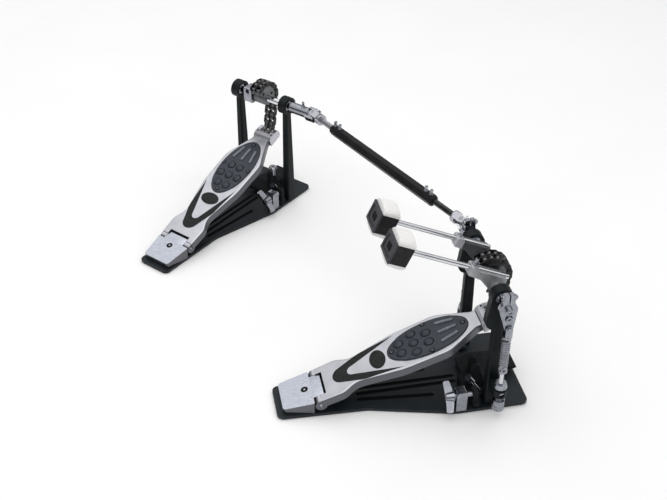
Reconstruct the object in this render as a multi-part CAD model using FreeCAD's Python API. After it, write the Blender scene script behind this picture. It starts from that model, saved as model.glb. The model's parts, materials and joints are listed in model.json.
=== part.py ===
import FreeCAD, Part
import math
import os
from FreeCAD import Placement, Rotation, Vector

# Double bass drum pedal: a main pedal that carries both beaters, a second pedal for the left foot,
# and the shaft between them. Millimetres, X to the player's right, Y towards the drum, Z up.
# The origin lies on the floor under the line where the main footboard meets its heel plate.
# Every pedal is drawn in that frame first. The left-foot pedal is then turned and moved into place.

# Where the left-foot pedal stands
LEFT_PEDAL_X = -413.5
LEFT_PEDAL_Y = -178.6
LEFT_PEDAL_TURN = 42.4

# Clearances
RUNNING_FIT = 0.05
SEAT_GAP = 0.02
SIDE_GAP = 0.5

# Axle, bearings and posts
AXLE_Y = 259.8
AXLE_Z = 206.9
AXLE_R = 6.0
PILOT_R = 3.6
PILOT_LENGTH = 14.0
DRUM_R = 16.4
DRUM_WIDTH = 16.0
BEARING_R = 11.0
BEARING_WIDTH = 9.0
RACE_T = 1.6
RACE_GROOVE = 1.0
AXLE_STUB = 6.0
AXLE_END = 4.0
RIGHT_POST_X = 56.0
MAIN_LEFT_POST_X = -78.0
SECOND_LEFT_POST_X = -56.0
POST_TOP_WIDTH = 11.0
POST_TOP_DEPTH = 14.0
POST_FOOT_WIDTH = 16.0
POST_FOOT_DEPTH = 20.0
POST_CORNER_R = 3.0
POST_OVERHANG = 1.0
LOBE_R = 13.0
LOBE_DROP = 42.0
LOBE_SET_BACK = 7.5
LOBE_STEP = 2.0

# Base plates and soles
SOLE_T = 2.5
PLATE_T = 4.0
PLATE_TOP = SOLE_T + PLATE_T
SOLE_INSET = 1.5
BASE_REAR_Y = -56.0
BASE_NOSE = 58.2
BASE_FRONT_Y = AXLE_Y + BASE_NOSE
BASE_CORNER_R = 9.0
BASE_WAIST_Y = 78.0
BASE_FLARE_Y = 205.0
BASE_REAR_HALF = 33.0
MAIN_WAIST_HALF = 38.5
SECOND_WAIST_HALF = 32.0
BASE_BEND_R = 60.0
BASE_TOE_MARGIN = 14.0
GROOVE_WIDTH = 4.0
GROOVE_DEPTH = 1.6
GROOVE_START_Y = 66.0
INNER_GROOVE_X = 6.0
INNER_GROOVE_LENGTH = 158.0
OUTER_GROOVE_X = 17.5
OUTER_GROOVE_LENGTH = 118.0
OUTER_GROOVE_TURN = 5.5

# Heel plate and hinge
HINGE_Y = 9.5
HINGE_Z = 20.5
HINGE_PIN_R = 2.5
HEEL_LENGTH = 47.0
HEEL_REAR_HALF = 28.0
HEEL_FRONT_HALF = 34.5
HEEL_SLOPE = 13.0
HEEL_CORNER_R = 5.0
HEEL_EDGE_R = 1.0
HEEL_WALL = 5.0
HEEL_HOLLOW = 6.0
TONGUE_HALF = 22.0
TONGUE_R = 8.0
KNUCKLE_R = 9.0

# Footboard, drawn flat with u along its length and w above its top, then tilted
FOOT_TILT = 21.4
FOOT_Z = 26.9
FOOT_T = 4.5
FOOT_RIM_DEPTH = 13.0
FOOT_RIM_T = 3.5
FOOT_EDGE_R = 3.0
FOOT_POCKET_START = 34.0
FOOT_HINGE_HALF = 35.5
FOOT_HINGE_U = 4.0
FOOT_HIP_HALF = 37.0
FOOT_HIP_U = 44.0
FOOT_HIP_R = 24.0
FOOT_WAIST_HALF = 26.0
FOOT_WAIST_U = 66.0
FOOT_WAIST_R = 30.0
FOOT_BELLY_HALF = 40.5
FOOT_BELLY_U = 140.0
FOOT_BELLY_R = 110.0
FOOT_SHOULDER_HALF = 41.8
FOOT_SHOULDER_U = 210.0
FOOT_SHOULDER_R = 42.0
FOOT_TIP_HALF = 17.5
FOOT_TIP_LENGTH = 6.0
FOOT_TIP_R = 10.0
TOE_HALF = 20.0
TOE_LENGTH = 23.0
TOE_DEPTH = 9.0
TOE_CREST = 9.0
TOE_ROUND = 6.0
PAD_CENTRE = 188.4
PAD_HALF_LENGTH = 65.0
PAD_HALF_WIDTH = 33.0
PAD_T = 3.6
PAD_RECESS = 1.6
BUMP_R = 7.2
BUMP_RISE = 2.0
BUMP_ROW_STEP = 22.0
BUMP_SPREAD = 19.7
RIB_START = 16.6
RIB_SPREAD = 20.0
RIB_LENGTH = 30.0
RIB_WIDTH = 3.6
RIB_RISE = 1.4
RIB_FAN = 12.0
INLAY_DEPTH = 0.8
INLAY_END_HALF = 35.0
INLAY_END_U = 142.0
INLAY_BEND_HALF = 27.5
INLAY_BEND_U = 80.0
INLAY_BEND_R = 60.0
INLAY_APEX_U = 5.0
INLAY_APEX_R = 15.6
INLAY_INNER_U = 41.5
INLAY_INNER_R = 8.3
BADGE_CENTRE = 107.5
BADGE_HALF_LENGTH = 12.5
BADGE_HALF_WIDTH = 19.0

# Chain and cam: the chain leaves the cam at LEAVE_ANGLE and hangs to the toe pin
PITCH = 9.525
LINKS_PER_TURN = 18
LINK_STEP = 360.0 / LINKS_PER_TURN
PITCH_R = PITCH / (2 * math.sin(math.radians(LINK_STEP / 2)))
LEAVE_ANGLE = -10.0
FREE_LINKS = 3
WRAP_LINKS = 4
STRAND_LINKS = 8
PLATE_R = 4.1
ROLLER_R = 3.175
CHAIN_PIN_R = 1.65
LINK_T = 1.2
ROW_X = 5.5
ROW_HALF = 4.3
OUTER_PLATE_X = 11.0
CHAIN_HALF = 12.2
CAM_CLEARANCE = 0.3
CAM_HUB_R = 13.0
CAM_HALF = 10.0
CAM_LEAD = 14.0
CAM_TAIL = 20.0
CAM_HOLE_R = 3.0
TOE_PIN_R = 2.5
TOE_EYE_R = 8.4
TOE_EYE_T = 2.9
TOE_EYE_PLAY = 2.6
TOE_EYE_SLACK = 1.1

# Beaters and their hubs, drawn upright on the axle and then laid back
BEATER_REST = 66.0
RIGHT_BEATER_X = 25.0
LEFT_BEATER_X = -45.0
ROD_R = 4.0
ROD_OFFSET = 14.5
ROD_TAIL = 14.0
LEFT_ROD_LIFT = 5.0
HUB_HALF = 9.0
HUB_R = 9.5
HUB_TAIL = 11.0
HUB_TOP = 16.5
HUB_LUG_START = 38.0
HUB_LUG_TOP = 20.5
HUB_LUG_R = 3.0
HUB_REACH = 50.0
HUB_EDGE_R = 1.5
HUB_SLIT = 1.4
HEAD_START = 147.0
HEAD_LENGTH = 27.3
HEAD_ROUND = 5.0
HEAD_HALF_WIDTH = 20.0
HEAD_CORE_HALF = 15.0
HEAD_CAP_T = 3.0
CAP_LIP = 0.4
CAP_RIM = 4.0
CAP_RECESS = 1.5
FELT_GAP = 0.2
FELT_INSET = 0.5
FELT_START = 1.0
FELT_CROWN = 12.0
FELT_CAP_CROWN = 8.0
FELT_EDGE = 1.0
HUB_BLOCK_SPACE = 3.0
HUB_BLOCK_WIDTH = 18.0
HUB_BLOCK_REAR = 15.0
HUB_BLOCK_FRONT = 11.0
HUB_BLOCK_DROP = 13.0
HUB_BLOCK_RISE = 15.0
HUB_SCREW_RISE = 9.0
HUB_SCREW_R = 4.2

# Return springs
RIGHT_SPRING_OFFSET = 28.0
LEFT_SPRING_OFFSET = 20.0
SPRING_FORWARD = 4.0
SPRING_Y = AXLE_Y + SPRING_FORWARD
ROCKER_T = 8.0
ROCKER_R = 13.0
ROCKER_REACH = 34.0
ROCKER_TIP_R = 6.5
ROCKER_TIP_T = 6.0
ROCKER_EAR_TOP = 25.0
ROCKER_EAR_HALF = 8.0
ROCKER_EAR_R = 3.0
ROCKER_SLIT = 2.0
ROCKER_RELIEF = 6.6
SPRING_TURNS = 13
WIRE_R = 1.5
COIL_R = 5.0
COIL_PITCH = 3.6
LEG_RISE = 3.2
SPRING_SEAT = 0.3
SPRING_FOOT_Z = 90.5
SPRING_PLUG_R = 6.8
SPRING_PLUG_T = 4.0
CLEVIS_T = 2.6
HOOK_BRIDGE_T = 2.5
HOOK_SINK = 1.0
HOOK_HEAD_R = 3.4
HOOK_HEAD_T = 1.6
SPRING_PIVOT_Z = 51.0
SPRING_ARM_T = 13.0
PIVOT_R = 4.2
PIVOT_HALF = 7.5
SPRING_ARM_HALF = 10.0
SPRING_ROD_R = 3.0
SPRING_ROD_FOOT_Z = 13.0
CUP_R = 10.0
CUP_Z = 61.0
CUP_T = 7.0
CUP_TAPER = 1.5
NUT_R = 9.0
NUT_Z = 17.0
NUT_T = 19.0
NUT_FLUTES = 16
NUT_FLUTE_R = 1.0
NUT_FLUTE_LENGTH = 10.5
NUT_NECK_R = 5.4
NUT_NECK_T = 5.0
ARM_HOLE_R = 4.8

# Universal joints and the shaft between the pedals
MAIN_JOINT_X = -126.0
SECOND_JOINT_X = 122.0
STROKE = 60.0
YOKE_INNER = 7.5
YOKE_ARM_T = 4.0
YOKE_ARM_HALF = 6.0
YOKE_HUB_R = 10.0
YOKE_HUB_FACE = 13.0
YOKE_FLANGE_T = 3.0
TRUNNION_R = 3.0
OPEN_PIN_GAP = 0.4
CROSS_HALF = 5.2
CROSS_CHAMFER = 1.2
SLEEVE_LENGTH = 40.0
SLEEVE_FLOOR = 8.0
END_HUB_LENGTH = 8.0
SHAFT_FLATS = 9.0
SHAFT_PLAY = 0.2
TUBE_FLATS = 17.5
TUBE_TAPER = 4.0
TUBE_START = 56.0
TUBE_END = 338.0
SHAFT_INSERT = 70.0

# Hoop clamp and floor spikes
CLAMP_SHAFT_R = 4.5
CLAMP_SHAFT_Z = 15.0
CLAMP_SPACE = 9.3
CLAMP_SHAFT_Y = AXLE_Y - POST_FOOT_DEPTH / 2 - CLAMP_SPACE - CLAMP_SHAFT_R
JAW_HALF = 20.0
JAW_T = 5.0
JAW_UNDER_Z = 18.5
JAW_ROOT_HALF = 3.5
JAW_BEND = 34.0
JAW_BEND_R = 20.0
JAW_SHOULDER = 20.0
JAW_SHOULDER_RISE = 3.0
JAW_SHOULDER_R = 14.0
JAW_LIP = 4.0
JAW_LIP_RISE = 2.0
MAIN_WING_X = 62.0
SECOND_WING_X = 54.0
WING_Z = 31.0
WING_SPAN = 47.0
WING_TURN = 45.0
WING_BOLT_R = 4.0
WING_T = 4.0
WING_SET = 5.0
WING_ROOT_X = 11.0
WING_ROOT_HALF = 6.0
WING_TIP_REAR = 7.0
WING_TIP_FRONT = 3.0
WING_EDGE_R = 2.5
WING_HUB_R = 8.0
WING_HUB_REAR_R = 6.0
WING_HUB_LENGTH = 12.0
BLOCK_LENGTH = 16.0
BLOCK_SPACE = 10.0
BLOCK_HALF = 8.0
BLOCK_TOP_Z = 42.0
BLOCK_EDGE_R = 2.0
BLOCK_REAR_R = 5.0
ARM_SET_BACK = 5.0
ARM_FACE_Y = CLAMP_SHAFT_Y - ARM_SET_BACK
BLOCK_Y = ARM_FACE_Y - BLOCK_SPACE - BLOCK_LENGTH
WING_SPACE = 15.0
WING_REAR_Y = BLOCK_Y - WING_SPACE
ARM_HALF = 7.0
ARM_T = 8.0
ARM_RISE = 9.0
BRACKET_REAR = 12.0
BRACKET_REAR_TOP = 16.0
BRACKET_CREST = 4.0
BRACKET_CREST_TOP = 25.0
BRACKET_FRONT = 30.0
BRACKET_FRONT_TOP = 20.0
BRACKET_R = 6.0
GUSSET_T = 6.0
GUSSET_ROOT = 10.0
GUSSET_LENGTH = 24.0
GUSSET_TOP = 52.0
GUSSET_TOP_START = 2.0
GUSSET_TOP_END = 12.0
GUSSET_R = 4.0
SPIKE_R = 3.5
SPIKE_TIP_R = 0.6
SPIKE_POINT = 5.2
SPIKE_HEAD_R = 5.6
SPIKE_HEAD_LENGTH = 12.0
SPIKE_BOSS_T = 3.5
SPIKE_LEAN = 34.0
SPIKE_INSET = 15.0
SPIKE_LENGTH = 50.0
SPIKE_AHEAD = 21.0
SPIKE_FOOT_Y = CLAMP_SHAFT_Y + SPIKE_AHEAD
SPIKE_CLEAR = 1.0
SPIKE_BOSS_RISE = 8.0

SECOND = Placement(Vector(LEFT_PEDAL_X, LEFT_PEDAL_Y, 0), Rotation(Vector(0, 0, 1), LEFT_PEDAL_TURN))
FOOT = Placement(Vector(0, 0, FOOT_Z), Rotation(Vector(1, 0, 0), FOOT_TILT))
X_AXIS = Vector(1, 0, 0)
Y_AXIS = Vector(0, 1, 0)
Z_AXIS = Vector(0, 0, 1)


def cam_point(angle, radius=PITCH_R):
    """Point (y, z) on a circle round the axle. Angle 0 faces the drum and 90 is up."""
    turn = math.radians(angle)
    return AXLE_Y + radius * math.cos(turn), AXLE_Z + radius * math.sin(turn)


def strand_point(index):
    """Pin centre (y, z) on the hanging strand, counted down from the cam."""
    y, z = cam_point(LEAVE_ANGLE)
    turn = math.radians(LEAVE_ANGLE)
    return y + index * PITCH * math.sin(turn), z - index * PITCH * math.cos(turn)


# The footboard ends a block's length behind the pin that holds the chain's lower end
TOE_PIN = FOOT.inverse().multVec(Vector(0, *strand_point(STRAND_LINKS)))
FOOT_END = TOE_PIN.y - TOE_LENGTH


def box(x, y, z):
    """Block between the (low, high) pairs x, y and z."""
    corner = Vector(x[0], y[0], z[0])
    return Part.makeBox(x[1] - x[0], y[1] - y[0], z[1] - z[0], corner)


def rod(start, end, radius):
    """Round bar from one point to another."""
    along = end - start
    return Part.makeCylinder(radius, along.Length, start, along)


def bar_x(x0, x1, y, z, radius):
    """Round bar along X."""
    return rod(Vector(x0, y, z), Vector(x1, y, z), radius)


def fused(pieces):
    """All the pieces as one solid."""
    return pieces[0].multiFuse(pieces[1:]).removeSplitter()


def placed(shape, placement):
    """A copy of shape carried along by placement."""
    copy = shape.copy()
    copy.Placement = placement.multiply(copy.Placement)
    return copy


def rounded_wire(corners, to_space):
    """Closed outline through (a, b, radius) corners, each corner rounded by its radius."""
    flat = [Vector(a, b, 0) for a, b, _ in corners]
    starts = []
    edges = []
    count = len(flat)
    for i in range(count):
        here = flat[i]
        back = (flat[i - 1] - here).normalize()
        ahead = (flat[(i + 1) % count] - here).normalize()
        radius = corners[i][2]
        if radius == 0:
            starts.append((here, None, here))
            continue
        half = back.getAngle(ahead) / 2
        reach = radius / math.tan(half)
        middle = (back + ahead).normalize()
        inner = here + middle * (radius / math.sin(half) - radius)
        starts.append((here + back * reach, inner, here + ahead * reach))
    for i in range(count):
        begin, middle, end = starts[i]
        if middle is not None:
            edges.append(Part.Arc(to_space(begin), to_space(middle), to_space(end)).toShape())
        following = starts[(i + 1) % count][0]
        if (following - end).Length > 1e-6:
            edges.append(Part.makeLine(to_space(end), to_space(following)))
    return Part.Wire(edges)


def slab(corners, z0, thickness):
    """Plate with a rounded outline in X and Y, from z0 upwards."""
    wire = rounded_wire(corners, lambda p: Vector(p.x, p.y, z0))
    return Part.Face(wire).extrude(Vector(0, 0, thickness))


def side_slab(corners, x0, thickness):
    """Plate with a rounded outline in Y and Z, from x0 along X."""
    wire = rounded_wire(corners, lambda p: Vector(x0, p.x, p.y))
    return Part.Face(wire).extrude(Vector(thickness, 0, 0))


def belt(first, r1, second, r2, x0, x1):
    """Plate along X whose (y, z) outline is a belt round two circles."""
    a = Vector(x0, first[0], first[1])
    b = Vector(x0, second[0], second[1])
    span = b - a
    along = Vector(span).normalize()
    across = X_AXIS.cross(along)
    lean = math.asin((r1 - r2) / span.Length)
    up = along * math.sin(lean) + across * math.cos(lean)
    down = along * math.sin(lean) - across * math.cos(lean)
    edges = [
        Part.makeLine(a + up * r1, b + up * r2),
        Part.Arc(b + up * r2, b + along * r2, b + down * r2).toShape(),
        Part.makeLine(b + down * r2, a + down * r1),
        Part.Arc(a + down * r1, a - along * r1, a + up * r1).toShape(),
    ]
    return Part.Face(Part.Wire(edges)).extrude(Vector(x1 - x0, 0, 0))


def oval(u, half_length, half_width, w0, thickness):
    """Elliptic plate on the flat footboard, half_length along Y and half_width along X."""
    centre = Vector(0, u, w0)
    curve = Part.Ellipse(centre, max(half_length, half_width), min(half_length, half_width))
    wire = Part.Wire([curve.toShape()])
    if half_length > half_width:
        wire = wire.rotated(centre, Z_AXIS, 90)
    return Part.Face(wire).extrude(Vector(0, 0, thickness))


def symmetric(right_side, centre=0.0):
    """Closed outline from the (x, y, radius) corners of its right side, listed from rear to front."""
    left_side = [(2 * centre - x, y, r) for x, y, r in reversed(right_side)]
    return right_side + left_side


def save(name, *pieces):
    """Write one sub-part, as a group where it has several solids."""
    shape = pieces[0] if len(pieces) == 1 else Part.makeCompound(list(pieces))
    if not shape.isValid():
        print("not valid:", name)
    shape.exportStep("parts/" + name + ".step")


# Frame


def base_outline(left_post_x, right_edge, waist_half, inset=0.0):
    """Outline of a base plate: narrow at the heel, flared to carry the posts."""
    left_edge = left_post_x - BASE_TOE_MARGIN + inset
    right_edge = right_edge - inset
    waist = waist_half - inset
    rear_half = BASE_REAR_HALF - inset
    front = BASE_FRONT_Y - inset
    rear = BASE_REAR_Y + inset
    return [
        (rear_half, rear, BASE_CORNER_R),
        (waist, BASE_WAIST_Y, BASE_BEND_R),
        (right_edge, BASE_FLARE_Y, BASE_BEND_R),
        (right_edge, front, BASE_CORNER_R),
        (left_edge, front, BASE_CORNER_R),
        (left_edge, BASE_FLARE_Y, BASE_BEND_R),
        (-waist, BASE_WAIST_Y, BASE_BEND_R),
        (-rear_half, rear, BASE_CORNER_R),
    ]


def base_grooves():
    """Tools that press two straight grooves on each side of the base's middle line."""
    tools = []
    for x, length, turn in (
        (INNER_GROOVE_X, INNER_GROOVE_LENGTH, 0),
        (OUTER_GROOVE_X, OUTER_GROOVE_LENGTH, OUTER_GROOVE_TURN),
    ):
        for side in (-1, 1):
            start = Vector(side * x, GROOVE_START_Y, PLATE_TOP - GROOVE_DEPTH)
            tool = slab(symmetric([
                (GROOVE_WIDTH / 2, 0, GROOVE_WIDTH * 0.45),
                (GROOVE_WIDTH / 2, length, GROOVE_WIDTH * 0.45),
            ]), 0, GROOVE_DEPTH * 2)
            tool.rotate(Vector(0, 0, 0), Z_AXIS, -side * turn)
            tools.append(tool.translated(start))
    return Part.makeCompound(tools)


def spike_line(x):
    """Tip and upward direction of a floor spike that leans back from the drum."""
    lean = math.radians(SPIKE_LEAN)
    tip = Vector(x, SPIKE_FOOT_Y, SPIKE_CLEAR + SPIKE_R * math.sin(lean))
    return tip, Vector(0, -math.sin(lean), math.cos(lean))


def spike_cut(x):
    """Slanted bore for a floor spike through the base."""
    tip, up = spike_line(x)
    return rod(tip - up * SPIKE_LENGTH, tip + up * SPIKE_LENGTH, SPIKE_R + RUNNING_FIT)


def spike_places(left_post_x):
    """X of the two floor spikes, just inside the posts."""
    return [RIGHT_POST_X - SPIKE_INSET, left_post_x + SPIKE_INSET]


def base_plate(left_post_x, right_edge, waist_half):
    """Steel base with pressed grooves and a slanted boss for each floor spike."""
    plate = slab(base_outline(left_post_x, right_edge, waist_half), SOLE_T, PLATE_T)
    pieces = [plate.cut(base_grooves())]
    above_sole = plate.BoundBox
    room = box(
        (above_sole.XMin, above_sole.XMax),
        (above_sole.YMin, above_sole.YMax),
        (SOLE_T + PLATE_T / 4, AXLE_Z),
    )
    for x in spike_places(left_post_x):
        tip, up = spike_line(x)
        seat = tip + up * ((PLATE_TOP - tip.z) / up.z)
        boss = rod(seat - up * PLATE_T, seat + up * SPIKE_BOSS_RISE, SPIKE_R + SPIKE_BOSS_T)
        pieces.append(boss.common(room))
    solid = fused(pieces)
    for x in spike_places(left_post_x):
        solid = solid.cut(spike_cut(x))
    return solid


def base_sole(left_post_x, right_edge, waist_half):
    """Rubber sheet under the base."""
    sole = slab(base_outline(left_post_x, right_edge, waist_half, SOLE_INSET), 0, SOLE_T)
    for x in spike_places(left_post_x):
        sole = sole.cut(spike_cut(x))
    return sole


def floor_spike(x):
    """Pointed screw with a round head."""
    tip, up = spike_line(x)
    end = tip + up * SPIKE_LENGTH
    point = Part.makeCone(SPIKE_TIP_R, SPIKE_R, SPIKE_POINT, tip, up)
    shank = rod(tip + up * SPIKE_POINT, end, SPIKE_R)
    head = rod(end - up * SPIKE_HEAD_LENGTH, end, SPIKE_HEAD_R)
    return fused([point, shank, head])


def heel_top(y):
    """Height of the heel plate's sloping top."""
    return FOOT_Z + y * math.tan(math.radians(HEEL_SLOPE))


def heel_plate():
    """Sloping plate under the heel, hollow below, with a tongue between the footboard's knuckles."""
    rear = -HEEL_LENGTH
    edge = HINGE_Y - KNUCKLE_R - 2 * SIDE_GAP
    body = slab(symmetric([
        (HEEL_REAR_HALF, rear, HEEL_CORNER_R),
        (HEEL_FRONT_HALF, edge, HEEL_EDGE_R),
    ]), PLATE_TOP, FOOT_Z)
    height = (PLATE_TOP, PLATE_TOP + FOOT_Z)
    tongue = box((-TONGUE_HALF, TONGUE_HALF), (edge - HEEL_WALL, HINGE_Y), height)
    nose = bar_x(-TONGUE_HALF, TONGUE_HALF, HINGE_Y, HINGE_Z, TONGUE_R)
    over = side_slab([
        (2 * rear, heel_top(2 * rear), 0),
        (-2 * rear, heel_top(-2 * rear), 0),
        (-2 * rear, AXLE_Z, 0),
        (2 * rear, AXLE_Z, 0),
    ], -HEEL_FRONT_HALF, 2 * HEEL_FRONT_HALF)
    hollow = slab(symmetric([
        (HEEL_REAR_HALF - HEEL_WALL, rear + HEEL_WALL, 2 * HEEL_EDGE_R),
        (HEEL_FRONT_HALF - HEEL_WALL, edge - HEEL_WALL, 2 * HEEL_EDGE_R),
    ]), PLATE_TOP, HEEL_HOLLOW)
    solid = fused([body, tongue]).cut(over).fuse(nose).cut(hollow)
    bore = bar_x(-TONGUE_HALF, TONGUE_HALF, HINGE_Y, HINGE_Z, HINGE_PIN_R + SEAT_GAP)
    return solid.cut(bore).removeSplitter()


def hinge_pin():
    """Pin that joins heel plate and footboard."""
    half = HEEL_FRONT_HALF - 2 * SIDE_GAP
    return bar_x(-half, half, HINGE_Y, HINGE_Z, HINGE_PIN_R)


def post(x, lobed, spring_offset):
    """Column with a round bearing head, and where asked a lobe behind it and an arm for a spring rod."""
    sections = []
    for z, width, depth in (
        (PLATE_TOP, POST_FOOT_WIDTH, POST_FOOT_DEPTH),
        (AXLE_Z - DRUM_R / 2, POST_TOP_WIDTH, POST_TOP_DEPTH),
    ):
        corners = [
            (x + sx * width / 2, AXLE_Y + sy * depth / 2, POST_CORNER_R)
            for sx, sy in ((-1, -1), (1, -1), (1, 1), (-1, 1))
        ]
        sections.append(rounded_wire(corners, lambda p, z=z: Vector(p.x, p.y, z)))
    column = Part.makeLoft(sections, True, True)
    half = DRUM_WIDTH / 2
    pieces = [column, bar_x(x - half, x + half, AXLE_Y, AXLE_Z, DRUM_R)]
    if lobed:
        lobe_at = (AXLE_Y - LOBE_SET_BACK, AXLE_Z - LOBE_DROP)
        lobe_half = half - LOBE_STEP
        pieces.append(belt(
            (AXLE_Y, AXLE_Z), DRUM_R - LOBE_STEP / 2, lobe_at, LOBE_R, x - lobe_half, x + lobe_half,
        ))
    if spring_offset:
        pieces.append(spring_arm(x, spring_offset))
    solid = fused(pieces).cut(bar_x(x - half, x + half, AXLE_Y, AXLE_Z, BEARING_R + SEAT_GAP))
    return solid


def spring_arm(x, offset):
    """Round-ended arm from a post to below its spring, with a seat for the spring rod's barrel."""
    side = math.copysign(1, offset)
    reach = offset + side * SPRING_ARM_HALF
    corners = [
        (x, SPRING_Y - SPRING_ARM_HALF, 0),
        (x + reach, SPRING_Y - SPRING_ARM_HALF, SPRING_ARM_HALF * 0.95),
        (x + reach, SPRING_Y + SPRING_ARM_HALF, SPRING_ARM_HALF * 0.95),
        (x, SPRING_Y + SPRING_ARM_HALF, 0),
    ]
    arm = slab(corners, SPRING_PIVOT_Z - SPRING_ARM_T / 2, SPRING_ARM_T)
    hole = rod(Vector(x + offset, SPRING_Y, 0), Vector(x + offset, SPRING_Y, AXLE_Z), ARM_HOLE_R)
    low, high = sorted((offset - side * (PIVOT_HALF + SIDE_GAP), reach))
    seat = bar_x(x + low, x + high, SPRING_Y, SPRING_PIVOT_Z, PIVOT_R + RUNNING_FIT)
    return arm.cut(hole).cut(seat)


def bearing(x):
    """Ball bearing as one ring with a groove on each face."""
    low = x - BEARING_WIDTH / 2
    high = x + BEARING_WIDTH / 2
    ring = bar_x(low, high, AXLE_Y, AXLE_Z, BEARING_R)
    ring = ring.cut(bar_x(low, high, AXLE_Y, AXLE_Z, AXLE_R + RUNNING_FIT))
    for start, end in ((low, low + RACE_GROOVE), (high - RACE_GROOVE, high)):
        groove = bar_x(start, end, AXLE_Y, AXLE_Z, BEARING_R - RACE_T)
        ring = ring.cut(groove.cut(bar_x(start, end, AXLE_Y, AXLE_Z, AXLE_R + RACE_T)))
    return ring


# Footboard, drawn flat and then tilted


def foot_outline(inset=0.0):
    """Waisted outline of the footboard, from the hinge to the toe."""
    corners = [
        (FOOT_HINGE_HALF, FOOT_HINGE_U, 0),
        (FOOT_HIP_HALF, FOOT_HIP_U, FOOT_HIP_R),
        (FOOT_WAIST_HALF, FOOT_WAIST_U, FOOT_WAIST_R),
        (FOOT_BELLY_HALF, FOOT_BELLY_U, FOOT_BELLY_R),
        (FOOT_SHOULDER_HALF, FOOT_SHOULDER_U, FOOT_SHOULDER_R),
        (FOOT_TIP_HALF, FOOT_END - FOOT_TIP_LENGTH, FOOT_TIP_R),
        (FOOT_TIP_HALF, FOOT_END, 0),
    ]
    return symmetric([(half - inset, u, radius) for half, u, radius in corners])


def inlay_outline():
    """Vee below the pad: two arms that taper towards the toe from a round bottom."""
    return [
        (INLAY_END_HALF, INLAY_END_U, 0),
        (INLAY_BEND_HALF, INLAY_BEND_U, INLAY_BEND_R),
        (0, INLAY_APEX_U, INLAY_APEX_R),
        (-INLAY_BEND_HALF, INLAY_BEND_U, INLAY_BEND_R),
        (-INLAY_END_HALF, INLAY_END_U, 0),
        (0, INLAY_INNER_U, INLAY_INNER_R),
    ]


def is_side_edge(edge):
    """True for an edge of the footboard's top that runs along one of its sides."""
    middle = edge.CenterOfMass
    ends = (FOOT_HINGE_U, FOOT_END)
    return abs(middle.z) < 1e-6 and all(abs(middle.y - end) > 1e-3 for end in ends)


def footboard():
    """Cast footboard: a thin top with a deep rim, hinge knuckles and recesses in its top."""
    solid = slab(foot_outline(), -FOOT_RIM_DEPTH, FOOT_RIM_DEPTH)
    solid = solid.makeFillet(FOOT_EDGE_R, [e for e in solid.Edges if is_side_edge(e)])
    pocket = slab(foot_outline(FOOT_RIM_T), -FOOT_RIM_DEPTH, FOOT_RIM_DEPTH - FOOT_T)
    reach = HEEL_FRONT_HALF * 2
    under = (-FOOT_RIM_DEPTH, 0)
    pocket = pocket.common(box((-reach, reach), (FOOT_POCKET_START, FOOT_END - FOOT_RIM_T), under))
    solid = solid.cut(pocket)
    solid = solid.cut(oval(PAD_CENTRE, PAD_HALF_LENGTH, PAD_HALF_WIDTH, -PAD_RECESS, FOOT_T))
    solid = solid.cut(oval(BADGE_CENTRE, BADGE_HALF_LENGTH, BADGE_HALF_WIDTH, -INLAY_DEPTH, FOOT_T))
    solid = solid.cut(slab(inlay_outline(), -INLAY_DEPTH, FOOT_T))
    solid = placed(solid, FOOT)
    notch_end = HINGE_Y + TONGUE_R + 2 * SIDE_GAP
    half = TONGUE_HALF + SIDE_GAP
    height = (0, FOOT_Z * 2)
    solid = solid.cut(box((-half, half), (-HEEL_LENGTH, notch_end), height))
    solid = solid.cut(box((-reach, reach), (-HEEL_LENGTH, HINGE_Y), height))
    for low, high in ((-HEEL_FRONT_HALF, -half), (half, HEEL_FRONT_HALF)):
        solid = solid.fuse(bar_x(low, high, HINGE_Y, HINGE_Z, KNUCKLE_R))
    bore = bar_x(-reach, reach, HINGE_Y, HINGE_Z, HINGE_PIN_R + RUNNING_FIT)
    return solid.cut(bore).removeSplitter()


def footboard_pad():
    """Rubber pad with round bumps and a fan of three ribs."""
    top = PAD_T - PAD_RECESS
    root = top - PAD_T / 4
    pieces = [oval(PAD_CENTRE, PAD_HALF_LENGTH - SEAT_GAP, PAD_HALF_WIDTH - SEAT_GAP, -PAD_RECESS, PAD_T)]
    ball_r = (BUMP_R ** 2 + BUMP_RISE ** 2) / (2 * BUMP_RISE)
    first = PAD_CENTRE - 2 * BUMP_ROW_STEP
    rows = ((0, (-0.5, 0.5)), (1, (-1, 0, 1)), (2, (-0.5, 0.5)))
    above = box((-PAD_HALF_WIDTH, PAD_HALF_WIDTH), (0, FOOT_END), (root, ball_r))
    for row, places in rows:
        for place in places:
            at = Vector(place * BUMP_SPREAD, first + row * BUMP_ROW_STEP, top + BUMP_RISE - ball_r)
            pieces.append(Part.makeSphere(ball_r, at).common(above))
    for side in (-1, 0, 1):
        rib = slab(symmetric([
            (RIB_WIDTH / 2, 0, RIB_WIDTH * 0.45),
            (RIB_WIDTH / 2, RIB_LENGTH, RIB_WIDTH * 0.45),
        ]), root, top + RIB_RISE - root)
        rib.rotate(Vector(0, 0, 0), Z_AXIS, side * RIB_FAN)
        pieces.append(rib.translated(Vector(side * RIB_SPREAD, PAD_CENTRE + RIB_START, 0)))
    return placed(fused(pieces), FOOT)


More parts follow.
